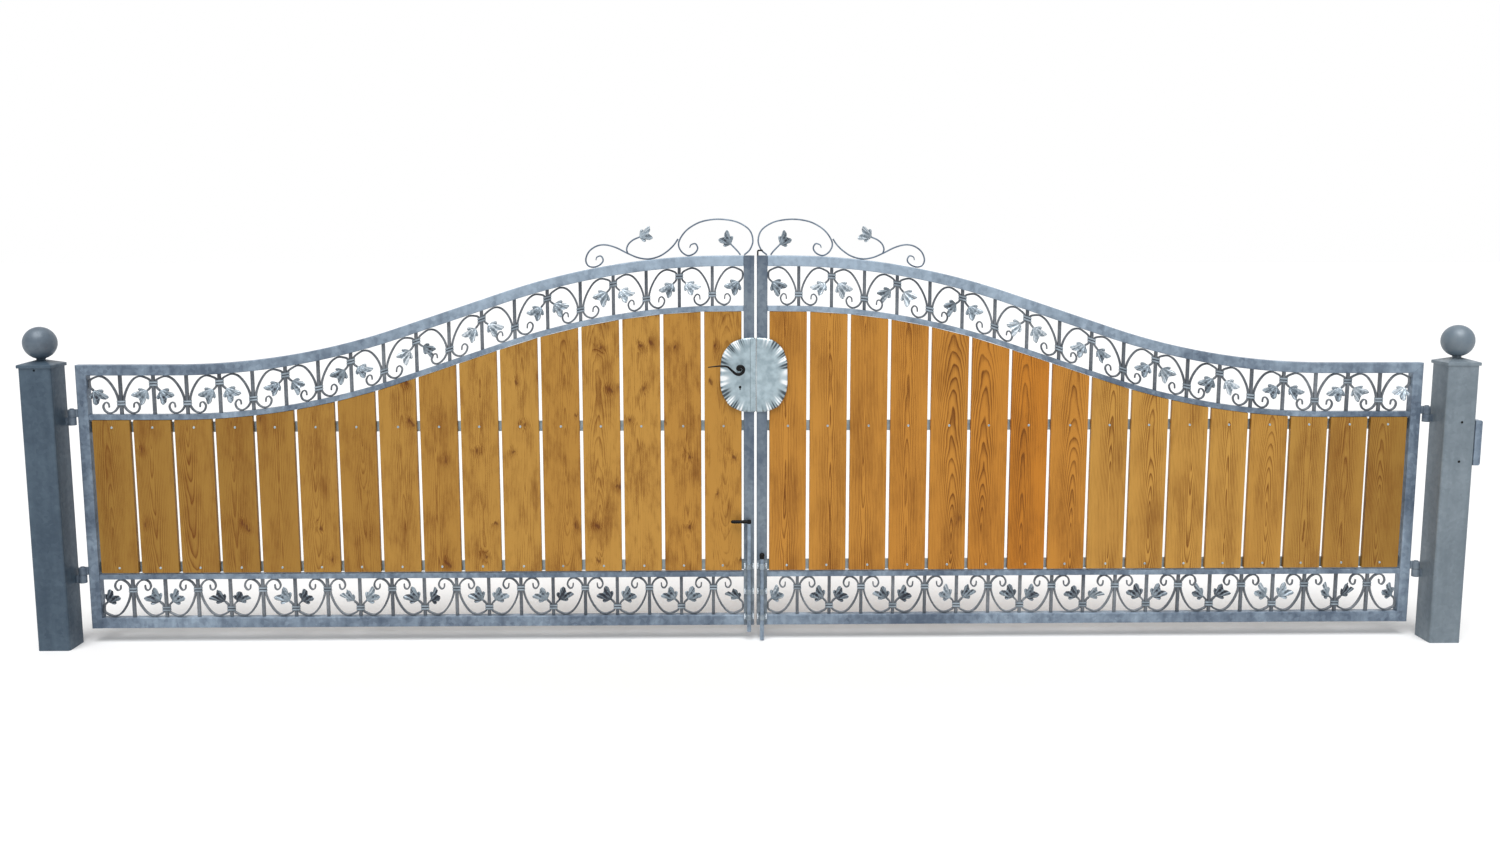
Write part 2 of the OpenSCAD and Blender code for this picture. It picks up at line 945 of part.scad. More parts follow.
// Outline of the keep with its two outer corners rounded
module keep_outline() {
    difference() {
        translate([keep_out / 2 - keep_r / 2, keep_h / 2])
            rounded(keep_out + keep_r, keep_h, keep_r);
        translate([-2 * keep_r, -cut])
            square([2 * keep_r, keep_h + 2 * cut]);
    }
}

// Drop bolts
module bolt_guide() {
    d = bolt_out + bolt_d / 2 + guide_t;
    step = (guide_h - 2 * loop_h) / (loop_count - 1);
    translate([leaf_w - bolt_in, 0, 0])
        difference() {
            union() {
                translate([-bolt_in, -guide_t, guide_z])
                    cube([lock_w, guide_t, guide_h]);
                for (i = [0 : loop_count - 1])
                    translate([-loop_w / 2, -d, guide_z + loop_h / 2 + i * step])
                        cube([loop_w, d - guide_t, loop_h]);
            }
            translate([0, -bolt_out, 0])
                cylinder(d = bolt_d + 2 * run_gap, h = guide_z + guide_h);
        }
}

module left_bolt_guide() {
    color("slategray")
        on_left()
            bolt_guide();
}

module right_bolt_guide() {
    color("slategray")
        on_right()
            bolt_guide();
}

module left_bolt() {
    color("slategray")
        on_left()
            translate([leaf_w - bolt_in, -bolt_out, low_tip_z + bolt_raised])
                cylinder(d = bolt_d, h = left_bolt_l);
}

module left_grip() {
    color("dimgray")
        on_left()
            translate([leaf_w - bolt_in, -bolt_out, low_tip_z + bolt_raised + left_bolt_l]) {
                cylinder(d = bolt_d, h = grip_d);
                translate([0, 0, grip_d / 2])
                    rotate([0, -90, 0])
                        cylinder(d = grip_d, h = grip_l + bolt_d / 2);
            }
}

module right_bolt() {
    color("slategray")
        on_right()
            translate([leaf_w - bolt_in, -bolt_out, low_tip_z])
                cylinder(d = bolt_d, h = right_bolt_l);
}

// Knob: a short stem with a round head
module right_knob() {
    color("dimgray")
        on_right()
            translate([leaf_w - bolt_in, -bolt_out, low_tip_z + right_bolt_l]) {
                cylinder(d = bolt_d, h = knob_h - knob_d / 2);
                translate([0, 0, knob_h - knob_d / 2])
                    sphere(d = knob_d);
            }
}

module stop_hook() {
    color("dimgray")
        on_right()
            upright(hook_t / 2, hook_t)
                polygon([
                    [leaf_w, top_z], [leaf_w, top_z + hook_h], [leaf_w - hook_l, top_z + hook_h],
                    [leaf_w - hook_l, top_z + hook_h - hook_t], [leaf_w - hook_t, top_z + hook_h - hook_t],
                    [leaf_w - hook_t, top_z]
                ]);
}

left_post();
right_post();
left_cap();
right_cap();
left_ball();
right_ball();
left_hinge_lugs();
right_hinge_lugs();
lock_keep();
left_hinge_stile();
left_lock_stile();
left_top_rail();
left_bottom_rail();
left_flats();
left_battens();
left_boards();
left_bars();
left_scrolls();
left_fronds();
left_collars();
left_crest();
left_shield();
left_hinge_eyes();
left_bolt_guide();
right_hinge_stile();
right_lock_stile();
right_top_rail();
right_bottom_rail();
right_flats();
right_battens();
right_boards();
right_bars();
right_scrolls();
right_fronds();
right_collars();
right_crest();
right_shield();
right_hinge_eyes();
right_bolt_guide();
stop_hook();
lever();
left_bolt();
left_grip();
right_bolt();
right_knob();
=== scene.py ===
"""Looks of a double-leaf driveway gate: galvanised steel, larch boards and scrolled friezes."""
import math
import random

import bmesh
import bpy
from mathutils import Matrix, Vector


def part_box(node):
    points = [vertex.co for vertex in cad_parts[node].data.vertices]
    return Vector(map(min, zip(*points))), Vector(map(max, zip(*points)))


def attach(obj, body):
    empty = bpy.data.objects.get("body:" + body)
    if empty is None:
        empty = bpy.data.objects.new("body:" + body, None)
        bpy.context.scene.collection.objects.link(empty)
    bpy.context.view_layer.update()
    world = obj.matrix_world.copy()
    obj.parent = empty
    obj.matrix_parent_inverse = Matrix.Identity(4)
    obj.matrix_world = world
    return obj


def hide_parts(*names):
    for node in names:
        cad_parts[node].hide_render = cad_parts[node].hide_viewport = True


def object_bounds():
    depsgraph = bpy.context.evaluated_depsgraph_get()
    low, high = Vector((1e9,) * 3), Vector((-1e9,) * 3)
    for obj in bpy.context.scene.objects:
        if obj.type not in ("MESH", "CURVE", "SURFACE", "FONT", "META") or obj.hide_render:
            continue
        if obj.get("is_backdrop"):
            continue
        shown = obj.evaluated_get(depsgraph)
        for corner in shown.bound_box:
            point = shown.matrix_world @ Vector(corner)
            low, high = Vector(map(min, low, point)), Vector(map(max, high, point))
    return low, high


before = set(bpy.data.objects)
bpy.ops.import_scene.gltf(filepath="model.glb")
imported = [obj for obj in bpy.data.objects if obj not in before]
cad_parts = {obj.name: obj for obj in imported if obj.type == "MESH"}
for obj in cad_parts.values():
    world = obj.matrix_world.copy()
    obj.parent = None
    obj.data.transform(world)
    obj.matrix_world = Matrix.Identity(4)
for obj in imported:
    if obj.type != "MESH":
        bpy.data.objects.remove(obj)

bl_info = {
    "name": "Driveway gate",
    "version": (1, 0, 0),
    "blender": (4, 5, 0),
    "location": "View3D > Sidebar > Gate",
    "description": "Dresses a double-leaf driveway gate in zinc, larch and black iron",
    "category": "Object",
}

CAD_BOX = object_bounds()
MM = 0.001
LOW, HIGH = 0, 1


def node_span(node, axis):
    """Length of a CAD node along an axis, in metres."""
    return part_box(node)[HIGH][axis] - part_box(node)[LOW][axis]


def srgb(red, green, blue):
    """A colour as seen on a screen, from 0 to 255, as the linear colour that Blender stores."""
    seen = (channel / 255 for channel in (red, green, blue))
    return tuple(c / 12.92 if c <= 0.04045 else ((c + 0.055) / 1.055) ** 2.4 for c in seen)


# Places on the leaf, read from the frame: x from the hinge edge, y from the inner face, z from the foot
LEAF_X, LEAF_Y, LEAF_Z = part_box("left_hinge_stile")[LOW]
RIGHT_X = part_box("right_hinge_stile")[HIGH][0]
STILE_W = node_span("left_hinge_stile", 0)
TUBE_D = node_span("left_hinge_stile", 1)
LOCK_W = node_span("left_lock_stile", 0)
RAIL_H = node_span("left_bottom_rail", 2)
LEAF_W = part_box("left_lock_stile")[HIGH][0] - LEAF_X
TOP_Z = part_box("left_top_rail")[HIGH][2] - LEAF_Z
SIDE_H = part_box("left_top_rail")[LOW][2] + RAIL_H - LEAF_Z
LOCK_X = LEAF_W - LOCK_W
TUBE_MID = TUBE_D / 2
BOARD_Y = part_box("left_boards")[LOW][1] - LEAF_Y
SIDES = ("left", "right")


def heights(node):
    """Foot and top of a CAD node above the leaf's foot."""
    return tuple(corner[2] - LEAF_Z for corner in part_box(node))


# Room between a scroll and the bars that it sits against
SEAT = 0.3 * MM
# Width of the rounded edges of small forged and flat pieces
EDGE = 1.2 * MM
# Heights between which the zinc is painted paler towards the top, as painted light from above
TOP_LIGHT_LOW, TOP_LIGHT_HIGH = 1.05, 1.50
# Two screws in the right post: along the gate and up
POST_SCREWS = ((5.340, 0.863), (5.339, 0.712))
TOWARDS_VIEWER = (0, -1, 0)

# Scroll strip of one bay: (across from the curl's bar to the leaf's bar, up from the curl's side)
SCROLL = (
    (0.35, 0.15), (0.37, 0.26), (0.47, 0.29), (0.56, 0.19), (0.50, 0.06), (0.33, 0.00), (0.14, 0.06),
    (0.02, 0.18), (0.00, 0.28), (0.02, 0.42), (0.10, 0.60), (0.24, 0.79), (0.42, 0.94), (0.64, 1.00),
    (0.86, 0.95), (0.98, 0.89), (1.00, 0.80), (0.98, 0.70), (0.88, 0.62),
)
CURL_COLLAR = 8
FROND_COLLAR = 16
# Half outline of a stamped leaf (along, across), with the place on its midrib that each point grows from
FROND = (
    (0.00, 0.05, 0.00), (0.10, 0.06, 0.07), (0.17, 0.17, 0.10), (0.23, 0.33, 0.12), (0.33, 0.45, 0.15),
    (0.43, 0.46, 0.18), (0.46, 0.39, 0.21), (0.45, 0.33, 0.24), (0.56, 0.37, 0.30), (0.74, 0.46, 0.36),
    (0.90, 0.48, 0.45), (0.98, 0.44, 0.54), (0.97, 0.33, 0.60), (0.91, 0.21, 0.65), (0.84, 0.10, 0.70),
    (0.80, 0.01, 0.74),
)
# Crest strips: (in from the lock edge, above the rail), in millimetres
CREST_LOOP = (
    (38, 2.5), (16, 22), (5, 56), (18, 95), (60, 123), (112, 134), (162, 134), (212, 123), (258, 95),
    (284, 55), (277, 24), (252, 4), (226, 10), (213, 28), (221, 46), (238, 43), (243, 32),
)
CREST_SWAY = (
    (287, 68), (302, 47), (326, 26), (358, 9), (398, 3.2), (438, 13), (478, 35), (520, 62), (560, 79),
    (594, 80), (622, 65), (634, 38), (626, 14), (604, 4), (580, 9), (569, 23), (577, 40), (592, 39),
    (596, 28),
)
CREST_TWIG = ((476, 34), (480, 50), (473, 68), (456, 81), (434, 88))
CREST_STEM = ((52, 2.1), (60, 13), (72, 26), (86, 40))
# Forged lever: (away from the lock edge, up) from its spindle, in millimetres
LEVER = (
    (3, 0), (9, 4), (6, 12), (-5, 13), (-13, 4), (-10, -9), (3, -17), (18, -14), (32, -2), (49, 12),
    (70, 15), (96, 13), (121, 10),
)
# Sun lamps: name, strength, spread in degrees and the way that the light goes
LAMPS = (("key", 2.6, 40.0, (0.05, 0.45, -1.0)), ("fill", 0.30, 70.0, (-0.2, -0.8, -0.6)))
AMBIENT = 0.36
FLOOR_REACH = 60.0
# The camera: place in metres, turn and tilt in degrees, lens and sensor in millimetres
CAMERA_PLACE = (2.5457, -5.1583, 1.5849)
CAMERA_TURN, CAMERA_TILT = 1.103, 7.965
CAMERA_LENS, CAMERA_SENSOR = 32.976, 36.0


def length(name, description, default):
    """A property that holds a length."""
    return bpy.props.FloatProperty(
        name=name, description=description, default=default, min=0.0, precision=4, unit="LENGTH"
    )


def colour(name, description, default):
    """A property that holds a colour."""
    return bpy.props.FloatVectorProperty(
        name=name, description=description, default=default, min=0.0, max=1.0, size=3, subtype="COLOR"
    )


def number(name, description, default):
    """A property that holds a whole number."""
    return bpy.props.IntProperty(name=name, description=description, default=default, min=1)


class GateFrameSizes(bpy.types.PropertyGroup):
    """Sizes of the steel frame."""

    curve_lead: length("Level lead", "Level length of the top rail at the hinge end", 0.370)
    curve_tail: length("Level tail", "Level length of the top rail at the lock end", 0.105)
    curve_bend: bpy.props.FloatProperty(
        name="Bent share", description="Share of the top rail's S-curve that is bent", default=0.833,
        min=0.1, max=1.0, subtype="FACTOR",
    )
    tube_round: length("Tube corners", "Corner radius of the frame tubes", 0.0035)
    flat_h: length("Flat bar", "Height of the flat bars along the friezes", 0.020)
    flat_d: length("Flat bar depth", "Depth of the flat bars", 0.030)
    frieze_drop: length("Upper frieze", "Drop from the rail's top to the upper flat bar", 0.189)
    lower_flat_z: length("Lower flat bar", "Height of the lower flat bar above the leaf's foot", 0.192)
    weld_r: length("Weld", "Half width of a weld bead", 0.0028)


class GateBoardSizes(bpy.types.PropertyGroup):
    """Sizes of the boards."""

    count: number("Boards", "Boards in each leaf", 16)
    gap: length("Gap", "Gap between boards", 0.013)
    end_gap: length("End gap", "Gap between the end boards and the stiles", 0.008)
    thick: length("Thickness", "Thickness of a board", node_span("left_boards", 1))
    setback: length("Setback", "Setback of the boards behind the frame", BOARD_Y)
    play: length("Play", "Gap above a board", 0.001)
    arris: length("Arris", "Rounding of the boards' edges", 0.0022)
    screw_r: length("Screw", "Radius of a screw head", 0.0046)


class GateFriezeSizes(bpy.types.PropertyGroup):
    """Sizes of the friezes and the crest."""

    bays: number("Bays", "Bays in each frieze", 20)
    bar_w: length("Bar", "Side of the square bars", 0.012)
    scroll_w: length("Scroll", "Thickness of the scroll strip", 0.007)
    curl_w: length("Curl tip", "Thickness of the strip at the tip of its curl", 0.0045)
    collar_h: length("Collar", "Height of a collar", 0.018)
    collar_t: length("Collar wall", "Thickness of a collar", 0.002)
    frond_l: length("Stamped leaf", "Length of a stamped leaf", 0.060)
    crest_frond_l: length("Crest leaf", "Length of a stamped leaf on the crest", 0.056)
    frond_lean: bpy.props.FloatProperty(
        name="Leaf lean", description="Lean of a stamped leaf towards the inner side",
        default=math.radians(14), subtype="ANGLE",
    )
    crest_w: length("Crest", "Thickness of the crest scroll", 0.006)
    crest_d: length("Crest depth", "Depth of the crest scroll", 0.008)


class GateFittingSizes(bpy.types.PropertyGroup):
    """Sizes of the lock, the hinges and the drop bolts."""

    shield_left: length("Left reach", "Reach of the shield over the left leaf", 0.130)
    shield_right: length("Right reach", "Reach of the shield over the right leaf", 0.117)
    flute: length("Flutes", "Depth of the flutes round the shield's edge", 0.0042)
    lever_t: length("Lever", "Thickness of the lever at its curl", 0.011)
    lever_tip: length("Lever tip", "Thickness of the lever at its tip", 0.004)
    bolt_out: length("Bolt axis", "Distance of a bolt's axis in front of the leaf", 0.014)
    loop_h: length("Saddle", "Height of a saddle over a bolt", 0.022)
    post_screw_r: length("Post screw", "Radius of the screws in the right post", 0.005)


class GateFinish(bpy.types.PropertyGroup):
    """Colours of the finishes."""

    zinc_dark: colour("Zinc, dull", "Dull patches of the galvanised frame", srgb(80, 94, 112))
    zinc_pale: colour("Zinc, pale", "Pale patches of the galvanised frame", srgb(166, 184, 201))
    # The right post's two colours are painted lighter, as painted light and reflection on that post; the
    # left post's shade colours are painted darker, as painted shade
    lit_post_dark: colour("Post, dull", "Dull patches of the right post", srgb(108, 120, 129))
    lit_post_pale: colour("Post, pale", "Pale patches of the right post", srgb(142, 154, 163))
    shade_dark: colour("Shaded post, dull", "Dull patches of the left post", srgb(60, 75, 90))
    shade_pale: colour("Shaded post, pale", "Pale patches of the left post", srgb(90, 107, 121))
    iron_dark: colour("Scrolls, dull", "Dull patches of the scrolls and bars", srgb(76, 82, 90))
    iron_pale: colour("Scrolls, pale", "Pale patches of the scrolls and bars", srgb(146, 152, 158))
    sheet_dark: colour("Sheet, dull", "Dull patches of the shield", srgb(144, 162, 171))
    sheet_pale: colour("Sheet, pale", "Pale patches of the shield", srgb(176, 194, 202))
    # Painted light: the lit colours below are painted highlights, and the deep colours are painted shade,
    # for the shield and for the leaves, collars and guides
    sheet_lit: colour("Sheet, lit", "Crests of the shield", srgb(246, 250, 252))
    sheet_painted_shade: colour("Sheet, deep", "Hollows of the shield", srgb(62, 74, 82))
    stamp_dark: colour("Leaves, dull", "Dull patches of leaves, collars and guides", srgb(108, 121, 131))
    stamp_pale: colour("Leaves, pale", "Pale patches of leaves, collars and guides", srgb(153, 167, 178))
    stamp_lit: colour("Leaves, lit", "Crests of leaves, collars and guides", srgb(218, 227, 234))
    stamp_painted_shade: colour("Leaves, deep", "Hollows of leaves, collars and guides", srgb(38, 44, 56))
    larch_pale: colour("Larch, early", "Early wood of the boards", srgb(192, 145, 69))
    larch_deep: colour("Larch, late", "Late wood of the boards", srgb(112, 64, 16))
    larch_red: colour("Larch, heart", "Redder heartwood", srgb(192, 122, 38))
    larch_grey: colour("Larch, weathered", "Weathered wood", srgb(150, 112, 48))
    larch_knot: colour("Larch, knot", "Knots in the boards", srgb(92, 48, 20))
    black: colour("Black iron", "Blackened forged iron", srgb(14, 13, 14))
    floor: colour("Floor", "The studio floor", (0.95, 0.95, 0.95))


GROUPS = {
    "gate_frame": GateFrameSizes,
    "gate_boards": GateBoardSizes,
    "gate_frieze": GateFriezeSizes,
    "gate_fittings": GateFittingSizes,
    "gate_finish": GateFinish,
}


# Shader nodes


class Val:
    """A node's output that takes part in Python arithmetic."""

    def __init__(self, tree, socket):
        self.tree = tree
        self.socket = socket

    def node(self, kind, settings=None, inputs=None, out=0):
        """Add a node of a kind, with its settings first and then its inputs, and return an output."""
        made = self.tree.nodes.new(kind)
        for key, value in (settings or {}).items():
            setattr(made, key, value)
        for key, value in (inputs or {}).items():
            if isinstance(value, Val):
                self.tree.links.new(value.socket, made.inputs[key])
            else:
                made.inputs[key].default_value = value
        if isinstance(out, tuple):
            return tuple(Val(self.tree, made.outputs[name]) for name in out)
        return Val(self.tree, made.outputs[out])

    def maths(self, operation, first, second=0.0):
        """A Math node on two values."""
        return self.node("ShaderNodeMath", {"operation": operation}, {0: first, 1: second})

    def value(self):
        """A colour as one value."""
        return self * 1.0

    def __add__(self, other):
        return self.maths("ADD", self, other)

    __radd__ = __add__

    def __sub__(self, other):
        return self.maths("SUBTRACT", self, other)

    def __rsub__(self, other):
        return self.maths("SUBTRACT", other, self)

    def __mul__(self, other):
        return self.maths("MULTIPLY", self, other)

    __rmul__ = __mul__

    def __truediv__(self, other):
        return self.maths("DIVIDE", self, other)

    def __pow__(self, other):
        return self.maths("POWER", self, other)


def noise(where, scale, detail=3.0, rough=0.55):
    """Cloudy noise from 0 to 1."""
    return where.node(
        "ShaderNodeTexNoise", None, {"Vector": where, "Scale": scale, "Detail": detail, "Roughness": rough}
    )


def stretch(where, factors):
    """Coordinates multiplied along each axis."""
    return where.node("ShaderNodeVectorMath", {"operation": "MULTIPLY"}, {0: where, 1: factors})


def step_up(value, low, high):
    """A smooth step of a value from 0 at low to 1 at high."""
    return value.node(
        "ShaderNodeMapRange", {"interpolation_type": "SMOOTHSTEP"}, {"Value": value, 1: low, 2: high}
    )


# Sockets of a Mix node that hold colours
MIX_FIRST, MIX_SECOND, MIX_RESULT = 6, 7, 2


def blend(factor, first, second):
    """A mix of two colours."""
    pair = {0: factor}
    for key, shade in ((MIX_FIRST, first), (MIX_SECOND, second)):
        pair[key] = shade if isinstance(shade, Val) else (*shade, 1.0)
    return factor.node("ShaderNodeMix", {"data_type": "RGBA", "clamp_factor": True}, pair, MIX_RESULT)


def shaded(name):
    """A new material, its shader and its Object coordinates."""
    made = bpy.data.materials.new(name)
    made.use_nodes = True
    tree = made.node_tree
    tree.nodes.clear()
    shader = tree.nodes.new("ShaderNodeBsdfPrincipled")
    output = tree.nodes.new("ShaderNodeOutputMaterial")
    tree.links.new(shader.outputs[0], output.inputs["Surface"])
    where = tree.nodes.new("ShaderNodeTexCoord").outputs["Object"]
    return made, shader, Val(tree, where)


def feed(shader, name, value):
    """Link a value to one of the shader's sockets."""
    value.tree.links.new(value.socket, shader.inputs[name])


def bump(shader, height, strength, distance):
    """Raise a shader's surface by a height."""
    feed(shader, "Normal", height.node(
        "ShaderNodeBump", None, {"Strength": strength, "Distance": distance, "Height": height}
    ))


def galvanised(name, dull, pale, top_light=0.0, rough=0.42, spangle=75.0, gloss=0.25):
    """Hot-dip zinc: clouds, crystals a few millimetres across, runs, and painted paler towards the top as
    painted light from above.
    """
    made, shader, where = shaded(name)
    cloud = noise(where, 3.2, 3.0, 0.55)
    patch = noise(where, 21.0, 3.0, 0.55)
    runs = noise(stretch(where, (30.0, 30.0, 2.5)), 1.0, 3.0)
    cells = where.node("ShaderNodeTexVoronoi", None, {"Vector": where, "Scale": spangle}, out="Color")
    crystal = cells.value()
    fine = noise(where, 420.0, 2.0)
    height = where.node("ShaderNodeSeparateXYZ", None, {0: where}, out=2)
    # Painted light: the zinc is painted paler towards the top, as if lit from above
    painted_top_light = step_up(height, TOP_LIGHT_LOW, TOP_LIGHT_HIGH) * top_light
    mottle = 0.44 * cloud + 0.22 * patch + 0.24 * runs + 0.10 * crystal - 0.07 + painted_top_light
    feed(shader, "Base Color", blend(step_up(mottle, 0.26, 0.74), dull, pale))
    feed(shader, "Roughness", rough + 0.18 * (patch - 0.5) - 0.10 * (crystal - 0.5))
    shader.inputs["Metallic"].default_value = 0.15
    shader.inputs["Specular IOR Level"].default_value = gloss
    bump(shader, patch + 0.25 * fine + 0.2 * crystal, 0.16, 0.0006)
    return made


def pressed_sheet(name, dull, pale, crest, painted_shade):
    """Bright zinc sheet, with a painted highlight on its crests and painted shade in its hollows."""
    made, shader, where = shaded(name)
    painted_light = where.node("ShaderNodeAttribute", {"attribute_name": "painted_light"}, None, out="Fac")
    cloud = noise(where, 30.0, 3.0)
    fine = noise(where, 380.0, 2.0)
    plain = blend(step_up(cloud, 0.30, 0.70), dull, pale)
    # Painted highlight towards the crest colour where the painted-light value is above nought, and painted
    # shade where it is below
    lit = blend(step_up(painted_light, 0.05, 0.95), plain, crest)
    feed(shader, "Base Color", blend(step_up(0.0 - painted_light, 0.05, 0.95), lit, painted_shade))
    feed(shader, "Roughness", 0.36 + 0.20 * (cloud - 0.5))
    shader.inputs["Metallic"].default_value = 0.35
    bump(shader, cloud + 0.2 * fine, 0.15, 0.0006)
    return made


def oiled_larch(name, finish):
    """Larch: growth rings cut at a slant, fibres along the board, knots, and a tone for each board."""
    made, shader, where = shaded(name)
    grain = where.node("ShaderNodeAttribute", {"attribute_name": "grain"}, None, out="Vector")
    tone = where.node("ShaderNodeAttribute", {"attribute_name": "tone"}, None, out="Vector")
    warm, grey, knotty = tone.node("ShaderNodeSeparateXYZ", None, {0: tone}, out=(0, 1, 2))
    across, seed, up = grain.node("ShaderNodeSeparateXYZ", None, {0: grain}, out=(0, 1, 2))
    draw = seed.node("ShaderNodeTexWhiteNoise", {"noise_dimensions": "1D"}, {"W": seed}, out="Color")
    slant, depth, offset = draw.node("ShaderNodeSeparateColor", None, {0: draw}, out=(0, 1, 2))
    blotch = noise(stretch(grain, (34.0, 1.0, 11.0)), 1.0, 4.0, 0.62)
    bent = (blotch - 0.5) * 0.07
    flat = across.node("ShaderNodeCombineXYZ", None, {0: across + seed * 3.7 + bent, 1: up * 0.8 - bent})
    spot, chance = flat.node(
        "ShaderNodeTexVoronoi", {"voronoi_dimensions": "2D"}, {"Vector": flat, "Scale": 9.0},
        out=("Distance", "Color"),
    )
    some = step_up(knotty + chance.value(), 1.0, 1.02)
    knot = (1.0 - step_up(spot, 0.025, 0.085)) * some
    halo = (1.0 - step_up(spot, 0.04, 0.28)) * some
    sway = noise(stretch(grain, (7.0, 1.0, 2.6)), 1.0, 3.0) - 0.5
    wander = noise(stretch(grain, (0.0, 1.0, 3.0)), 1.0, 2.0) - 0.5
    side = (across + (offset - 0.5) * 0.05 + wander * 0.02) * 2.2
    deep = 0.012 + depth * 0.030 + (up - 0.55) * (slant - 0.5) * 0.42 + sway * 0.070
    ring_w = 0.0120
    from_heart = (side * side + deep * deep) ** 0.5 + halo * ring_w
    phase = from_heart.maths("FRACT", from_heart / ring_w)
    late = phase ** 2.6 * (1.0 - step_up(phase, 0.84, 1.0))
    flame = (1.0 - step_up(side * side, 0.002, 0.016) * 0.6) * (1.3 - 1.3 * knotty)
    fibre = noise(stretch(grain, (460.0, 1.0, 8.0)), 1.0, 3.0, 0.6)
    cloud = noise(stretch(grain, (11.0, 1.0, 4.0)), 1.0, 4.0, 0.6)
    early = blend(grey, blend(warm, finish.larch_pale, finish.larch_red), finish.larch_grey)
    stains = (cloud - 0.5) * 1.5 + (blotch - 0.5) * knotty * 4.6 + halo * 0.40
    streaks = late * flame * 1.25 + (fibre - 0.5) * 1.1 + stains
    streaked = blend(streaks, early, finish.larch_deep)
    feed(shader, "Base Color", blend(knot * 0.75, streaked, finish.larch_knot))
    feed(shader, "Roughness", 0.50 + 0.16 * (fibre - 0.5) - 0.10 * late)
    shader.inputs["Specular IOR Level"].default_value = 0.18
    bump(shader, fibre * 0.5 - late * 0.6, 0.25, 0.0005)
    return made


def forged_black(name, shade):
    """Blackened iron with hammer marks."""
    made, shader, where = shaded(name)
    marks = noise(where, 160.0, 3.0)
    wear = step_up(noise(where, 70.0, 4.0, 0.65), 0.58, 0.80)
    feed(shader, "Base Color", blend(wear * 0.3, shade, srgb(60, 56, 54)))
    feed(shader, "Roughness", 0.42 + 0.25 * (marks - 0.5))
    shader.inputs["Specular IOR Level"].default_value = 0.15
    bump(shader, marks, 0.35, 0.0008)
    return made


def paint(look):
    """The material of a look, made when it is first asked for."""
    name = "gate_" + look
    known = bpy.data.materials.get(name)
    if known:
        return known
    finish = bpy.context.scene.gate_finish
    zincs = {
        "zinc": {"dull": finish.zinc_dark, "pale": finish.zinc_pale},
        # The next zinc is painted paler towards the top, as painted light from above
        "top_lit_zinc": {"dull": finish.zinc_dark, "pale": finish.zinc_pale, "top_light": 0.22},
        "stile_zinc": {"dull": finish.zinc_dark, "pale": finish.lit_post_pale},
        # The right post's zinc and ball are painted lighter, as painted light and reflection, and the left
        # post's shaded zinc and ball darker, as painted shade
        "post_zinc": {"dull": finish.lit_post_dark, "pale": finish.lit_post_pale},
        "post_ball": {"dull": finish.shade_pale, "pale": finish.lit_post_dark, "rough": 0.50, "gloss": 1.0},
        "shaded_zinc": {"dull": finish.shade_dark, "pale": finish.shade_pale},
        "shaded_ball": {"dull": finish.shade_dark, "pale": finish.shade_pale, "rough": 0.50, "gloss": 1.0},
        "dark_zinc": {"dull": finish.iron_dark, "pale": finish.iron_pale, "rough": 0.45, "spangle": 140.0},
    }
    sheets = {
        "bright_zinc": (finish.sheet_dark, finish.sheet_pale, finish.sheet_lit, finish.sheet_painted_shade),
        "stamped_zinc": (finish.stamp_dark, finish.stamp_pale, finish.stamp_lit, finish.stamp_painted_shade),
    }
    if look in zincs:
        return galvanised(name, **zincs[look])
    if look in sheets:
        return pressed_sheet(name, *sheets[look])
    if look == "larch":
        return oiled_larch(name, finish)
    if look == "black_iron":
        return forged_black(name, finish.black)
    raise ValueError(f"no finish is known for {look}")


# Meshes


def leaf_place(side):
    """Matrix from a leaf's own places to the gate."""
    if side == "left":
        return Matrix.Translation((LEAF_X, LEAF_Y, LEAF_Z))
    return Matrix.Translation((RIGHT_X, LEAF_Y, LEAF_Z)) @ Matrix.Scale(-1, 4, (1, 0, 0))


def as_piece(mesh, name, body, slot, nodes=(), side=None, even=False, sharp=38.0, sheet=0.0, look=None):
    """Close a bmesh into a piece that rides on a body, takes a slot's finish and stands for CAD nodes."""
    if side:
        bmesh.ops.transform(mesh, matrix=leaf_place(side), verts=mesh.verts)
    bmesh.ops.recalc_face_normals(mesh, faces=mesh.faces)
    for face in mesh.faces:
        face.smooth = True
    data = bpy.data.meshes.new(name)
    mesh.to_mesh(data)
    mesh.free()
    data.set_sharp_from_angle(angle=math.radians(sharp))
    piece = bpy.data.objects.new(name, data)
    bpy.context.scene.collection.objects.link(piece)
    data.materials.append(paint(look or slot))
    if sheet:
        wall = piece.modifiers.new("sheet", "SOLIDIFY")
        wall.thickness = sheet
        wall.offset = 0.0
    if even:
        piece.modifiers.new("even_shading", "WEIGHTED_NORMAL").keep_sharp = True
    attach(piece, body)
    if nodes:
        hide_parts(*nodes)


def leaf_piece(mesh, side, name, slot, node=None, **options):
    """A piece on a leaf, which stands for the leaf's node that is named."""
    nodes = (f"{side}_{node}",) if node else ()
    as_piece(mesh, f"{side}_{name}", f"{side}_leaf", slot, nodes, side, **options)


def dress(node, look):
    """Give a CAD node that stays in view a look."""
    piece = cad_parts[node]
    if not piece.material_slots:
        piece.data.materials.append(paint(look))
    for holder in piece.material_slots:
        holder.material = paint(look)


def painted_light_layer(mesh):
    """The layer of painted light on a sheet: 1 paints a point with highlight, -1 with shade."""
    floats = mesh.verts.layers.float
    return floats.get("painted_light") or floats.new("painted_light")


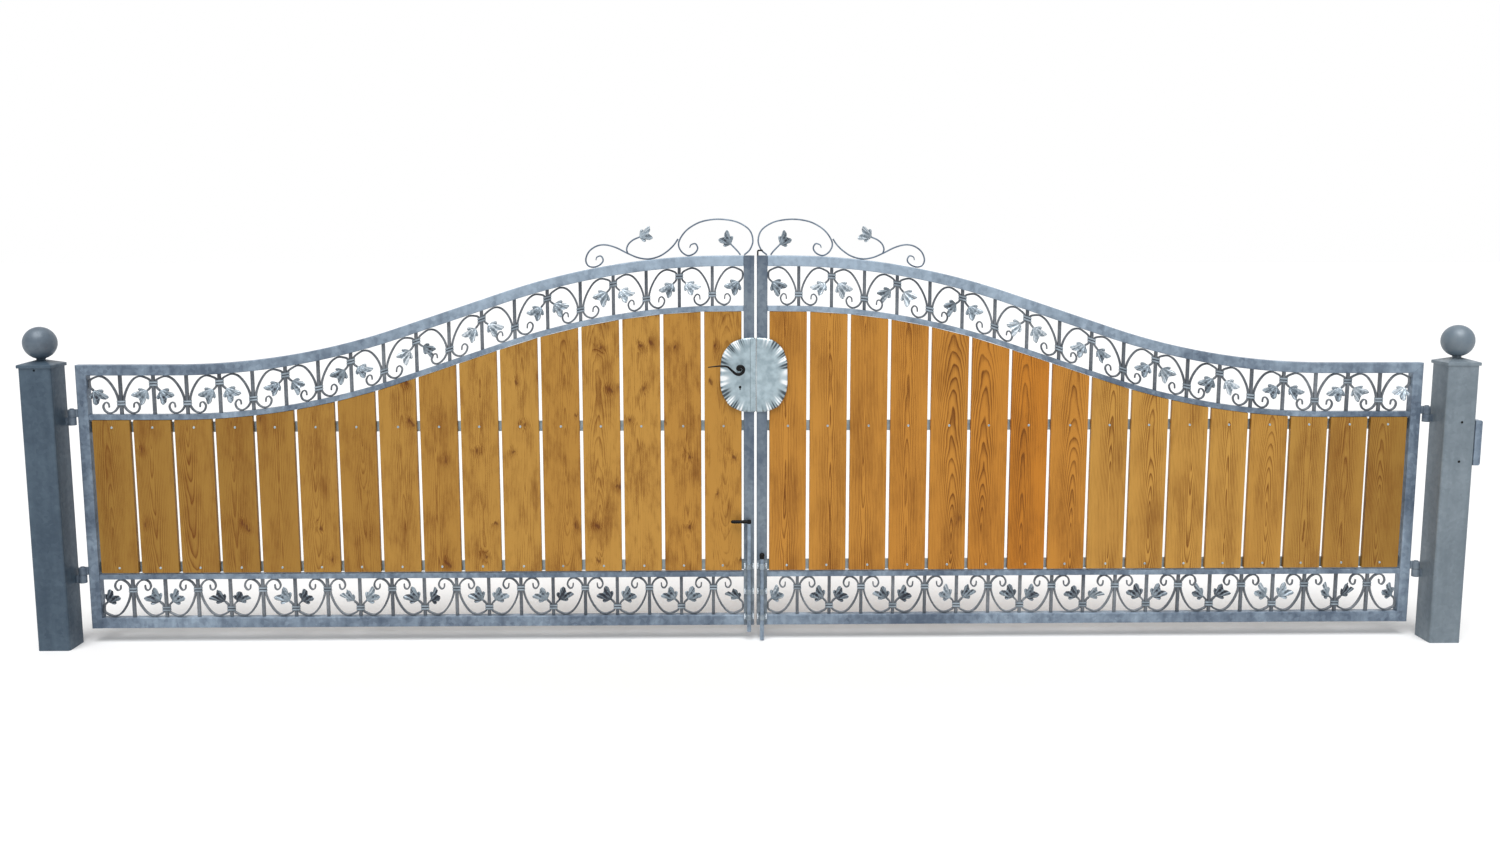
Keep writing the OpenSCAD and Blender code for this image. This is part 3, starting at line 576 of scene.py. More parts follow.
def skin(mesh, rows, cols, place, painted_light=None):
    """Lay a grid of faces, put each point where place(u, v) says, join what meets, return its points."""
    layer = painted_light_layer(mesh) if painted_light else None
    made = bmesh.ops.create_grid(mesh, x_segments=rows, y_segments=cols, size=0.5)["verts"]
    for vert in made:
        u, v = vert.co.x + 0.5, vert.co.y + 0.5
        vert.co = place(u, v)
        if painted_light:
            vert[layer] = painted_light(u, v)
    bmesh.ops.remove_doubles(mesh, verts=made, dist=1e-6)
    return [vert for vert in made if vert.is_valid]


def close_ends(mesh, verts):
    """Fill the open ends of a tube."""
    rims = {edge for vert in verts for edge in vert.link_edges if edge.is_boundary}
    if rims:
        bmesh.ops.holes_fill(mesh, edges=list(rims), sides=0)


def block(mesh, low, high):
    """A box between two corners; returns its points."""
    low, high = Vector(low), Vector(high)
    size = high - low
    place = Matrix.Translation((low + high) / 2) @ Matrix.Diagonal((*size, 1.0))
    return bmesh.ops.create_cube(mesh, size=1.0, matrix=place)["verts"]


def soften(mesh, edges, width, segments):
    """Round edges."""
    bmesh.ops.bevel(
        mesh, geom=list(edges), offset=width, segments=segments, profile=0.5, affect="EDGES", material=-1,
        clamp_overlap=True,
    )


def soft_block(mesh, low, high, width=EDGE, segments=2):
    """A box between two corners with rounded edges."""
    made = block(mesh, low, high)
    soften(mesh, {edge for vert in made for edge in vert.link_edges}, width, segments)


def rod(mesh, start, end, radius, tip=None, segments=24):
    """A round bar between two points, with rounded rims when tip gives their width."""
    start, end = Vector(start), Vector(end)
    along = end - start
    place = Matrix.Translation((start + end) / 2) @ along.to_track_quat("Z", "Y").to_matrix().to_4x4()
    made = bmesh.ops.create_cone(
        mesh, cap_ends=True, segments=segments, radius1=radius, radius2=radius, depth=along.length,
        matrix=place,
    )["verts"]
    if tip:
        caps = {face for vert in made for face in vert.link_faces if len(face.verts) > 4}
        soften(mesh, {edge for face in caps for edge in face.edges}, tip, 2)


def rounded_profile(width, depth, radius, steps):
    """Points (across, deep) round a rectangle with round corners."""
    points = []
    for turn, (right, front) in enumerate(((1, 1), (-1, 1), (-1, -1), (1, -1))):
        for step in range(steps + 1):
            angle = math.radians(90 * (turn + step / steps))
            points.append((
                right * (width / 2 - radius) + radius * math.cos(angle),
                front * (depth / 2 - radius) + radius * math.sin(angle),
            ))
    return points


def oval_profile(width, depth, count):
    """Points (across, deep) round an oval."""
    turns = [2 * math.pi * step / count for step in range(count)]
    return [(width / 2 * math.cos(turn), depth / 2 * math.sin(turn)) for turn in turns]


def spline(points, steps):
    """A smooth line through points in the gate's plane."""
    points = [Vector(point) for point in points]
    line = []
    for n in range(len(points) - 1):
        a, b = points[max(n - 1, 0)], points[n]
        c, d = points[n + 1], points[min(n + 2, len(points) - 1)]
        for step in range(steps):
            t = step / steps
            line.append(0.5 * (
                2 * b + (c - a) * t + (2 * a - 5 * b + 4 * c - d) * t ** 2
                + (3 * b - a - 3 * c + d) * t ** 3
            ))
    return line + [points[-1]]


def sideways(line, n):
    """Direction across a line at one of its points."""
    along = (line[min(n + 1, len(line) - 1)] - line[max(n - 1, 0)]).normalized()
    return Vector((-along.y, along.x))


def sweep(mesh, line, profile, middle, scales=None):
    """Carry a profile along a line (x, z), about the depth middle, and close its ends."""
    rows, cols = len(line) - 1, len(profile)

    def place(u, v):
        n = round(u * rows)
        across, deep = profile[round(v * cols) % cols]
        scale = scales[n] if scales else 1.0
        point = line[n] + sideways(line, n) * across * scale
        return Vector((point.x, middle + deep * min(1.0, scale ** 0.5), point.y))

    close_ends(mesh, skin(mesh, rows, cols, place))


def ring(mesh, centre, radius, thick, turns=48, axis=(0, 0, 1)):
    """A thin bead in a circle round an axis."""
    place_on = Matrix.Translation(centre) @ Vector(axis).to_track_quat("Z", "Y").to_matrix().to_4x4()

    def place(u, v):
        turn, roll = 2 * math.pi * u, 2 * math.pi * v
        reach = radius + thick * math.cos(roll)
        return place_on @ Vector((reach * math.cos(turn), reach * math.sin(turn), thick * math.sin(roll)))

    skin(mesh, turns, 6, place)


def bead(mesh, start, end, radius, draw):
    """A weld bead between two points, with the ripples of its run."""
    start, end = Vector(start), Vector(end)
    along = end - start
    frame_turn = along.to_track_quat("Z", "Y").to_matrix()
    rows = max(4, round(along.length / (1.6 * radius)))
    swell = [radius * (0.86 + 0.28 * draw.random()) for _ in range(rows + 1)]
    swell[0] = swell[-1] = radius * 0.35

    def place(u, v):
        turn = 2 * math.pi * v
        across = Vector((math.cos(turn), math.sin(turn), 0)) * swell[round(u * rows)]
        return start + along * u + frame_turn @ across

    close_ends(mesh, skin(mesh, rows, 6, place))


def screw(mesh, place, radius):
    """A domed screw head with a recess, seen from the viewer's side; place is under the head."""
    out = Vector(TOWARDS_VIEWER)
    head = 0.38 * radius
    turn = out.to_track_quat("Z", "Y").to_matrix().to_4x4()
    stand = Matrix.Translation(Vector(place) + out * head / 2) @ turn
    made = bmesh.ops.create_cone(
        mesh, cap_ends=True, segments=10, radius1=radius, radius2=0.66 * radius, depth=head, matrix=stand
    )["verts"]
    tops = [face for vert in made for face in vert.link_faces if len(face.verts) > 4]
    top = max(tops, key=lambda face: face.calc_center_median().dot(out))
    bmesh.ops.inset_individual(mesh, faces=[top], thickness=0.30 * radius)
    bmesh.ops.translate(mesh, verts=top.verts, vec=-out * head * 0.7)


# The curve of the top rail


def bend():
    """Turn and radius of the S-curve's two bends."""
    size = bpy.context.scene.gate_frame
    run = LEAF_W - size.curve_lead - size.curve_tail
    rise = TOP_Z - SIDE_H
    turn = size.curve_bend * 2 * math.atan(rise / run)
    radius = (run * math.tan(turn) - rise) * math.cos(turn) / (1 - math.cos(turn)) / 2
    return turn, radius


def rail_edge(x, drop):
    """Height of the line that runs drop below the top rail's upper edge."""
    size = bpy.context.scene.gate_frame
    turn, radius = bend()
    lead, tail = size.curve_lead, LEAF_W - size.curve_tail
    if x <= lead:
        return SIDE_H - drop
    if x <= lead + (radius + drop) * math.sin(turn):
        return SIDE_H + radius - math.sqrt((radius + drop) ** 2 - (x - lead) ** 2)
    if x < tail - (radius - drop) * math.sin(turn):
        level = SIDE_H + radius * (1 - math.cos(turn)) - drop / math.cos(turn)
        return level + (x - lead - radius * math.sin(turn)) * math.tan(turn)
    if x < tail:
        return TOP_Z - radius + math.sqrt((radius - drop) ** 2 - (tail - x) ** 2)
    return TOP_Z - drop


def rail_line(start, end, drop, below):
    """The middle line of a bar that follows the top rail, between two places along the leaf."""
    count = 96
    places = [start + (end - start) * n / count for n in range(count + 1)]
    return [Vector((x, rail_edge(x, drop) - below)) for x in places]


def bay_width():
    """Clear width of a frieze bay."""
    frieze = bpy.context.scene.gate_frieze
    return (LOCK_X - STILE_W - (frieze.bays - 1) * frieze.bar_w) / frieze.bays


def bay_start(bay):
    """Where a bay starts along the leaf."""
    return STILE_W + bay * (bay_width() + bpy.context.scene.gate_frieze.bar_w)


def scroll_x(bay, share):
    """Place along the leaf of a share of a bay's width; even bays have their curl on the right."""
    inset = bpy.context.scene.gate_frieze.scroll_w / 2 + SEAT
    x = inset + share * (bay_width() - 2 * inset)
    return bay_start(bay) + (bay_width() - x if bay % 2 == 0 else x)


def upper_point(bay, point):
    """A scroll's point in the upper frieze."""
    frieze, size = bpy.context.scene.gate_frieze, bpy.context.scene.gate_frame
    x = scroll_x(bay, point[0])
    inset = frieze.scroll_w / 2 / math.cos(bend()[0]) + SEAT
    floor, roof = rail_edge(x, 0) - size.frieze_drop, rail_edge(x, RAIL_H)
    return Vector((x, floor + inset + point[1] * (roof - floor - 2 * inset)))


def lower_point(bay, point):
    """A scroll's point in the lower frieze."""
    frieze, size = bpy.context.scene.gate_frieze, bpy.context.scene.gate_frame
    inset = frieze.scroll_w / 2 + SEAT
    drop = point[1] * (size.lower_flat_z - RAIL_H - 2 * inset)
    return Vector((scroll_x(bay, point[0]), size.lower_flat_z - inset - drop))


def crest_line(points, steps):
    """A crest strip over the top rail."""
    places = [(LEAF_W - x * MM, y * MM) for x, y in points]
    return spline([(x, rail_edge(x, 0) + y) for x, y in places], steps)


FRIEZES = (upper_point, lower_point)
SCROLL_STEPS = 4


def scroll_line(point_of, bay):
    """The strip of a bay in one of the friezes."""
    return spline([point_of(bay, point) for point in SCROLL], SCROLL_STEPS)


def post_ball(mesh, node):
    """A ball finial pressed from two halves, with a weld round its middle."""
    low, high = (Vector(corner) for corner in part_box(node))
    radius = (high.x - low.x) / 2
    centre = Vector(((low.x + high.x) / 2, (low.y + high.y) / 2, high.z - radius))
    bmesh.ops.create_uvsphere(
        mesh, u_segments=56, v_segments=36, radius=radius * 0.998, matrix=Matrix.Translation(centre)
    )
    seam = 0.9 * MM
    ring(mesh, centre, radius * 0.989, seam, 72)


def post_cap(mesh, node):
    """A low pyramid with a rim and a neck under the ball."""
    low, high = (Vector(corner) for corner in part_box(node))
    rim, rise, neck = 12 * MM, 15 * MM, 14 * MM
    edge, weld, root_weld = 1.6 * MM, 2.2 * MM, 2.0 * MM
    made = block(mesh, low, (high.x, high.y, low.z + rim))
    faces = {face for vert in made for face in vert.link_faces}
    top = max(faces, key=lambda face: face.calc_center_median().z)
    peak = bmesh.ops.extrude_discrete_faces(mesh, faces=[top])["faces"][0]
    middle = peak.calc_center_median()
    bmesh.ops.translate(mesh, verts=peak.verts, vec=(0, 0, rise))
    narrow = neck / ((high.x - low.x) / 2)
    to_peak = Matrix.Translation(-middle)
    bmesh.ops.scale(mesh, verts=peak.verts, vec=(narrow, narrow, 1), space=to_peak)
    soften(mesh, mesh.edges, edge, 2)
    base = Vector((middle.x, middle.y, low.z + rim + rise - 2 * MM))
    rod(mesh, base, (middle.x, middle.y, high.z), neck, None, 32)
    ring(mesh, (middle.x, middle.y, high.z - 0.5 * MM), neck + 0.4 * MM, weld, 32)
    ring(mesh, (middle.x, middle.y, low.z + rim + rise + 0.3 * MM), neck + 0.6 * MM, root_weld, 32)


class GATE_OT_posts(bpy.types.Operator):
    """Dress the two posts with their caps, balls and screws"""

    bl_idname = "gate.posts"
    bl_label = "Posts"

    def execute(self, context):
        # The left post takes a copy of the zinc painted darker, as painted shade, and the right post a copy
        # painted lighter, as painted light and reflection
        for side, finish in (("left", "shaded"), ("right", "post")):
            look = f"{finish}_zinc"
            dress(f"{side}_post", look)
            mesh = bmesh.new()
            post_ball(mesh, f"{side}_ball")
            as_piece(mesh, f"{side}_ball_finial", "posts", "zinc", (f"{side}_ball",), look=f"{finish}_ball")
            mesh = bmesh.new()
            post_cap(mesh, f"{side}_cap")
            as_piece(mesh, f"{side}_cap_pressed", "posts", "zinc", (f"{side}_cap",), even=True, look=look)
        dress("lock_keep", "zinc")
        mesh = bmesh.new()
        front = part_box("right_post")[LOW][1]
        for x, z in POST_SCREWS:
            screw(mesh, (x, front, z), context.scene.gate_fittings.post_screw_r)
        as_piece(mesh, "right_post_screws", "posts", "black_iron")
        return {"FINISHED"}


class GATE_OT_frames(bpy.types.Operator):
    """Build the tubes, flat bars and welds of both leaves"""

    bl_idname = "gate.frames"
    bl_label = "Frames"

    def tube(self, name, side, line, width, keep=None, look="zinc"):
        """One frame tube along a line; keep points to the side of the mitre that stays."""
        size = bpy.context.scene.gate_frame
        mesh = bmesh.new()
        sweep(mesh, line, rounded_profile(width, TUBE_D, size.tube_round, 3), TUBE_MID)
        if keep:
            cut = bmesh.ops.bisect_plane(
                mesh, geom=[*mesh.verts, *mesh.edges, *mesh.faces], plane_co=(0, 0, SIDE_H), plane_no=keep,
                clear_inner=True,
            )
            rim = [part for part in cut["geom_cut"] if isinstance(part, bmesh.types.BMEdge)]
            bmesh.ops.holes_fill(mesh, edges=rim, sides=0)
        leaf_piece(mesh, side, f"{name}_tube", "zinc", name, even=True, look=look)

    def welds(self, side):
        """Weld beads where tubes and flat bars meet."""
        size = bpy.context.scene.gate_frame
        draw = random.Random(11)
        mesh = bmesh.new()
        flush, proud = 0.5 * size.weld_r, 0.8 * size.weld_r
        # How far a bead stops short of a tube's corner and of a flat bar's edge
        tube_end, flat_end = 3 * MM, 2 * MM
        mitre = 2 * MM
        bead(mesh, (mitre, 0, SIDE_H - mitre), (STILE_W, 0, SIDE_H - RAIL_H), flush, draw)
        for x, foot in ((STILE_W, 0.0), (LOCK_X, 0.0), (LOCK_X, TOP_Z - RAIL_H)):
            bead(mesh, (x, 0, foot + tube_end), (x, 0, foot + RAIL_H - tube_end), flush, draw)
        inset = (TUBE_D - size.flat_d) / 2
        for x, z in (
            (STILE_W, size.lower_flat_z), (LOCK_X, size.lower_flat_z),
            (STILE_W, SIDE_H - size.frieze_drop - size.flat_h),
            (LOCK_X, TOP_Z - size.frieze_drop - size.flat_h),
        ):
            for y in (inset, TUBE_D - inset):
                bead(mesh, (x, y, z + flat_end), (x, y, z + size.flat_h - flat_end), proud, draw)
        leaf_piece(mesh, side, "frame_welds", "zinc")

    def execute(self, context):
        size = context.scene.gate_frame
        half = RAIL_H / 2
        below_mitre = Vector((-RAIL_H, 0, -STILE_W))
        for side in SIDES:
            at_hinge = [Vector((STILE_W / 2, z)) for z in (0.0, SIDE_H)]
            at_lock = [Vector((LEAF_W - LOCK_W / 2, z)) for z in (0.0, TOP_Z)]
            at_foot = [Vector((x, half)) for x in (STILE_W, LOCK_X)]
            at_top = rail_line(0.0, LOCK_X, half, 0.0)
            self.tube("hinge_stile", side, at_hinge, STILE_W, below_mitre)
            self.tube("lock_stile", side, at_lock, LOCK_W, None, "stile_zinc")
            self.tube("bottom_rail", side, at_foot, RAIL_H)
            # The top rail and the flat bars take the zinc that is painted paler towards the top, as painted
            # light from above
            self.tube("top_rail", side, at_top, RAIL_H, -below_mitre, "top_lit_zinc")
            mesh = bmesh.new()
            flat = rounded_profile(size.flat_h, size.flat_d, EDGE, 2)
            sweep(mesh, rail_line(STILE_W, LOCK_X, size.flat_h / 2, size.frieze_drop), flat, TUBE_MID)
            middle = size.lower_flat_z + size.flat_h / 2
            sweep(mesh, [Vector((x, middle)) for x in (STILE_W, LOCK_X)], flat, TUBE_MID)
            leaf_piece(mesh, side, "flat_bars", "zinc", "flats", even=True, look="top_lit_zinc")
            self.welds(side)
        return {"FINISHED"}


class GATE_OT_boards(bpy.types.Operator):
    """Saw the boards to the curve and screw them to their battens"""

    bl_idname = "gate.boards"
    bl_label = "Boards"

    def tone(self, side, towards_lock, chance):
        """How red, how weathered and how knotty a board is."""
        if side == "left":
            weathered = 0.85 * (1 - towards_lock) ** 1.2 + 0.25 * chance
            return Vector((0.25 * chance, weathered, 0.18 + 0.30 * towards_lock))
        red = 0.40 + 0.60 * chance if towards_lock > 0.5 else 0.12 * chance
        return Vector((red, 0.8 * max(0.0, 1 - 4 * towards_lock), 0.08))

    def execute(self, context):
        size, steel = context.scene.gate_boards, context.scene.gate_frame
        width = (LOCK_X - STILE_W - 2 * size.end_gap - (size.count - 1) * size.gap) / size.count
        pitch = width + size.gap
        first = STILE_W + size.end_gap
        foot = heights("left_boards")[LOW]
        batten_low, batten_high = heights("left_battens")
        half_batten, stray = 20 * MM, 6 * MM
        uncut = 0.5
        draw = random.Random(5)
        for side in SIDES:
            # Painted light: the battens take the paler sheet zinc so that they look lighter in the shade
            # behind the boards
            dress(f"{side}_battens", "bright_zinc")
            seeds = [1.0 + 97.0 * draw.random() for _ in range(size.count)]
            reds = [draw.random() for _ in range(size.count)]
            mesh = bmesh.new()
            for n in range(size.count):
                start = first + n * pitch
                made = block(
                    mesh, (start, size.setback, foot),
                    (start + width, size.setback + size.thick, foot + uncut),
                )
                for vert in made:
                    if vert.co.z > foot + uncut / 2:
                        vert.co.z = rail_edge(vert.co.x, steel.flat_h) - steel.frieze_drop - size.play
            soften(mesh, mesh.edges, size.arris, 2)
            grain = mesh.verts.layers.float_vector.new("grain")
            tone = mesh.verts.layers.float_vector.new("tone")
            for vert in mesh.verts:
                n = min(size.count - 1, max(0, int((vert.co.x - first + size.gap / 2) / pitch)))
                middle = first + n * pitch + width / 2
                vert[grain] = Vector((vert.co.x - middle, seeds[n], vert.co.z))
                vert[tone] = self.tone(side, n / (size.count - 1), reds[n])
            leaf_piece(mesh, side, "larch_boards", "larch", "boards", even=True)
            mesh = bmesh.new()
            for n in range(size.count):
                x = first + n * pitch + width / 2
                for z in (batten_low + half_batten, batten_high - half_batten):
                    away = (draw.random() - 0.5) * stray
                    screw(mesh, (x + away, size.setback, z), size.screw_r)
            leaf_piece(mesh, side, "board_screws", "bright_zinc")
        return {"FINISHED"}


class GATE_OT_friezes(bpy.types.Operator):
    """Forge the bars, scrolls and collars of the friezes"""

    bl_idname = "gate.friezes"
    bl_label = "Friezes"

    def bars(self, side):
        """Square bars between the bays."""
        frieze, steel = bpy.context.scene.gate_frieze, bpy.context.scene.gate_frame
        mesh = bmesh.new()
        near, far = TUBE_MID - frieze.bar_w / 2, TUBE_MID + frieze.bar_w / 2
        for bay in range(frieze.bays - 1):
            x = bay_start(bay) + bay_width()
            made = block(mesh, (x, near, 0.0), (x + frieze.bar_w, far, 1.0))
            for vert in made:
                roof = rail_edge(vert.co.x, RAIL_H)
                floor = rail_edge(vert.co.x, 0) - steel.frieze_drop
                vert.co.z = roof if vert.co.z > 0.5 else floor
            block(mesh, (x, near, RAIL_H), (x + frieze.bar_w, far, steel.lower_flat_z))
        edge = 1.1 * MM
        soften(mesh, mesh.edges, edge, 1)
        leaf_piece(mesh, side, "frieze_bars", "dark_zinc", "bars", even=True)

    def scrolls(self, side):
        """Strips curled at one end, which carry a stamped leaf at the other."""
        frieze = bpy.context.scene.gate_frieze
        corner = 1.3 * MM
        profile = rounded_profile(frieze.scroll_w, frieze.bar_w, corner, 1)
        taper = 5 * SCROLL_STEPS
        mesh = bmesh.new()
        for bay in range(frieze.bays):
            for point_of in FRIEZES:
                line = scroll_line(point_of, bay)
                tip = frieze.curl_w / frieze.scroll_w
                scales = [tip + (1 - tip) * min(1.0, n / taper) for n in range(len(line))]
                sweep(mesh, line, profile, TUBE_MID, scales)
        leaf_piece(mesh, side, "frieze_scrolls", "dark_zinc", "scrolls")

    def collar(self, mesh, left, right):
        """A banded collar round a bar and the strips on both sides of it."""
        frieze = bpy.context.scene.gate_frieze
        middle = (left + right) / 2
        slope = (right.y - left.y) / (right.x - left.x)
        room, corner = 0.4 * MM, 2.4 * MM
        wide = frieze.bar_w + 2 * (frieze.scroll_w + frieze.collar_t + room)
        deep = frieze.bar_w + 2 * frieze.collar_t
        outline = rounded_profile(wide, deep, corner, 2)
        half = frieze.collar_h / 2
        # Section of the two bands: in from the outline in millimetres, and up as a share of half the height
        bands = (
            (-3.0, -1.0), (-0.8, -1.0), (0.0, -0.72), (-0.2, -0.30), (-1.2, -0.14), (-1.2, 0.14),
            (-0.2, 0.30), (0.0, 0.72), (-0.8, 1.0), (-3.0, 1.0),
        )

        def place(u, v):
            across, away = outline[round(u * len(outline)) % len(outline)]
            inset, height = bands[round(v * len(bands)) % len(bands)]
            reach = 1 + inset * MM / (wide / 2)
            depth = 1 + inset * MM / (deep / 2)
            x = across * reach
            return Vector((middle.x + x, TUBE_MID + away * depth, middle.y + slope * x + height * half))

        # Painted light: the outer faces of the bands take a painted highlight, and the sunk grooves and
        # ends take painted shade
        def painted_light(u, v):
            return max(-1.0, 0.30 + 1.1 * bands[round(v * len(bands)) % len(bands)][0])

        skin(mesh, len(outline), len(bands), place, painted_light)

    def execute(self, context):
        frieze = context.scene.gate_frieze
        for side in SIDES:
            self.bars(side)
            self.scrolls(side)
            mesh = bmesh.new()
            for bay in range(frieze.bays - 1):
                place = SCROLL[CURL_COLLAR if bay % 2 == 0 else FROND_COLLAR]
                for point_of in FRIEZES:
                    self.collar(mesh, point_of(bay, place), point_of(bay + 1, place))
            leaf_piece(mesh, side, "frieze_collars", "dark_zinc", "collars", look="stamped_zinc")
        return {"FINISHED"}


class GATE_OT_fronds(bpy.types.Operator):
    """Stamp the lobed leaves and set them on the scrolls and the crest"""

    bl_idname = "gate.fronds"
    bl_label = "Stamped leaves"

    def frond(self, mesh, line, size, draw, tone=0.0):
        """One leaf that grows on from the end of a line, ribbed, and bent on its stem by hand."""
        along = (line[-1] - line[-2]).normalized()
        base = line[-1] - along * 0.05 * size
        outline = spline([Vector(point) for point in FROND], 2)
        rows, cols = len(outline) - 1, 12
        # In degrees: a lobe's crest, from lobe to lobe, from rib to rib, and the largest roll
        lobe_at, lobe_fan, rib_fan, most_roll = 25, 26, 8.6, 38
        lean = bpy.context.scene.gate_frieze.frond_lean * (0.5 + draw.random())
        roll = math.radians(most_roll) * (2 * draw.random() - 1)
        curl = 0.35 * (draw.random() - 0.35)
        # Each leaf is painted lighter or darker at random, on top of its frieze's painted shading
        shade = tone + 0.8 * (draw.random() - 0.5)

        def spot(u, v):
            out, across, rib = outline[round(u * rows)]
            share = 2 * v - 1
            t, w = rib + (out - rib) * abs(share), across * share
            reach = math.hypot(t, w)
            fan = math.degrees(math.atan2(abs(w), t + 0.03))
            lobes = math.cos(math.radians(360 * (fan - lobe_at) / lobe_fan))
            return t, w, reach, math.radians(360 * fan / rib_fan), lobes

        def place(u, v):
            t, w, reach, wave, lobes = spot(u, v)
            ribs = math.cos(wave)
            lift = 0.07 * reach * lobes + 0.016 * min(1.0, 2 * reach) * ribs - curl * reach * reach
            wide = w * math.cos(roll) + lift * math.sin(roll)
            deep = w * math.sin(roll) - lift * math.cos(roll)
            ahead = t * math.cos(lean) + deep * math.sin(lean)
            deep = deep * math.cos(lean) - t * math.sin(lean)
            x, z = base + (along * ahead + Vector((-along.y, along.x)) * wide) * size
            return Vector((x, TUBE_MID + deep * size, z))

        # Painted light: ribs and lobes are painted lighter on one side and darker on the other, and one
        # half of the rolled leaf lighter than the other
        def painted_light(u, v):
            _, w, reach, wave, lobes = spot(u, v)
            ribs = math.sin(wave)
            side = math.copysign(1.0, w) * roll
            return shade + 0.35 * side + min(1.0, 2 * reach) * (0.55 * ribs + 0.35 * lobes)

        skin(mesh, rows, cols, place, painted_light)

    def execute(self, context):
        frieze = context.scene.gate_frieze
        # The upper frieze's leaves are painted a little lighter and the lower frieze's darker, as painted
        # light and shade
        frieze_shading = (0.05, -0.35)
        for side, chance in zip(SIDES, (23, 24)):
            draw = random.Random(chance)
            mesh = bmesh.new()
            for bay in range(frieze.bays):
                for point_of, tone in zip(FRIEZES, frieze_shading):
                    self.frond(mesh, scroll_line(point_of, bay), frieze.frond_l, draw, tone)
            for points in (CREST_TWIG, CREST_STEM):
                self.frond(mesh, crest_line(points, SCROLL_STEPS), frieze.crest_frond_l, draw)
            leaf_piece(
                mesh, side, "stamped_leaves", "bright_zinc", "fronds", sharp=60.0, sheet=1.8 * MM,
                look="stamped_zinc",
            )
        return {"FINISHED"}


class GATE_OT_crest(bpy.types.Operator):
    """Bend the crest scrolls over the top rails"""

    bl_idname = "gate.crest"
    bl_label = "Crest"

    def execute(self, context):
        frieze = context.scene.gate_frieze
        profile = oval_profile(frieze.crest_w, frieze.crest_d, 10)
        for side in SIDES:
            mesh = bmesh.new()
            for points in (CREST_LOOP, CREST_SWAY, CREST_TWIG, CREST_STEM):
                line = crest_line(points, 6)
                last = len(line) - 1
                curled = points in (CREST_LOOP, CREST_SWAY)
                tapered = [min(1.0, 0.62 + 3.0 * (last - n) / last) for n in range(last + 1)]
                sweep(mesh, line, profile, TUBE_MID, tapered if curled else None)
            leaf_piece(mesh, side, "crest_scroll", "dark_zinc", "crest", look="zinc")
        return {"FINISHED"}


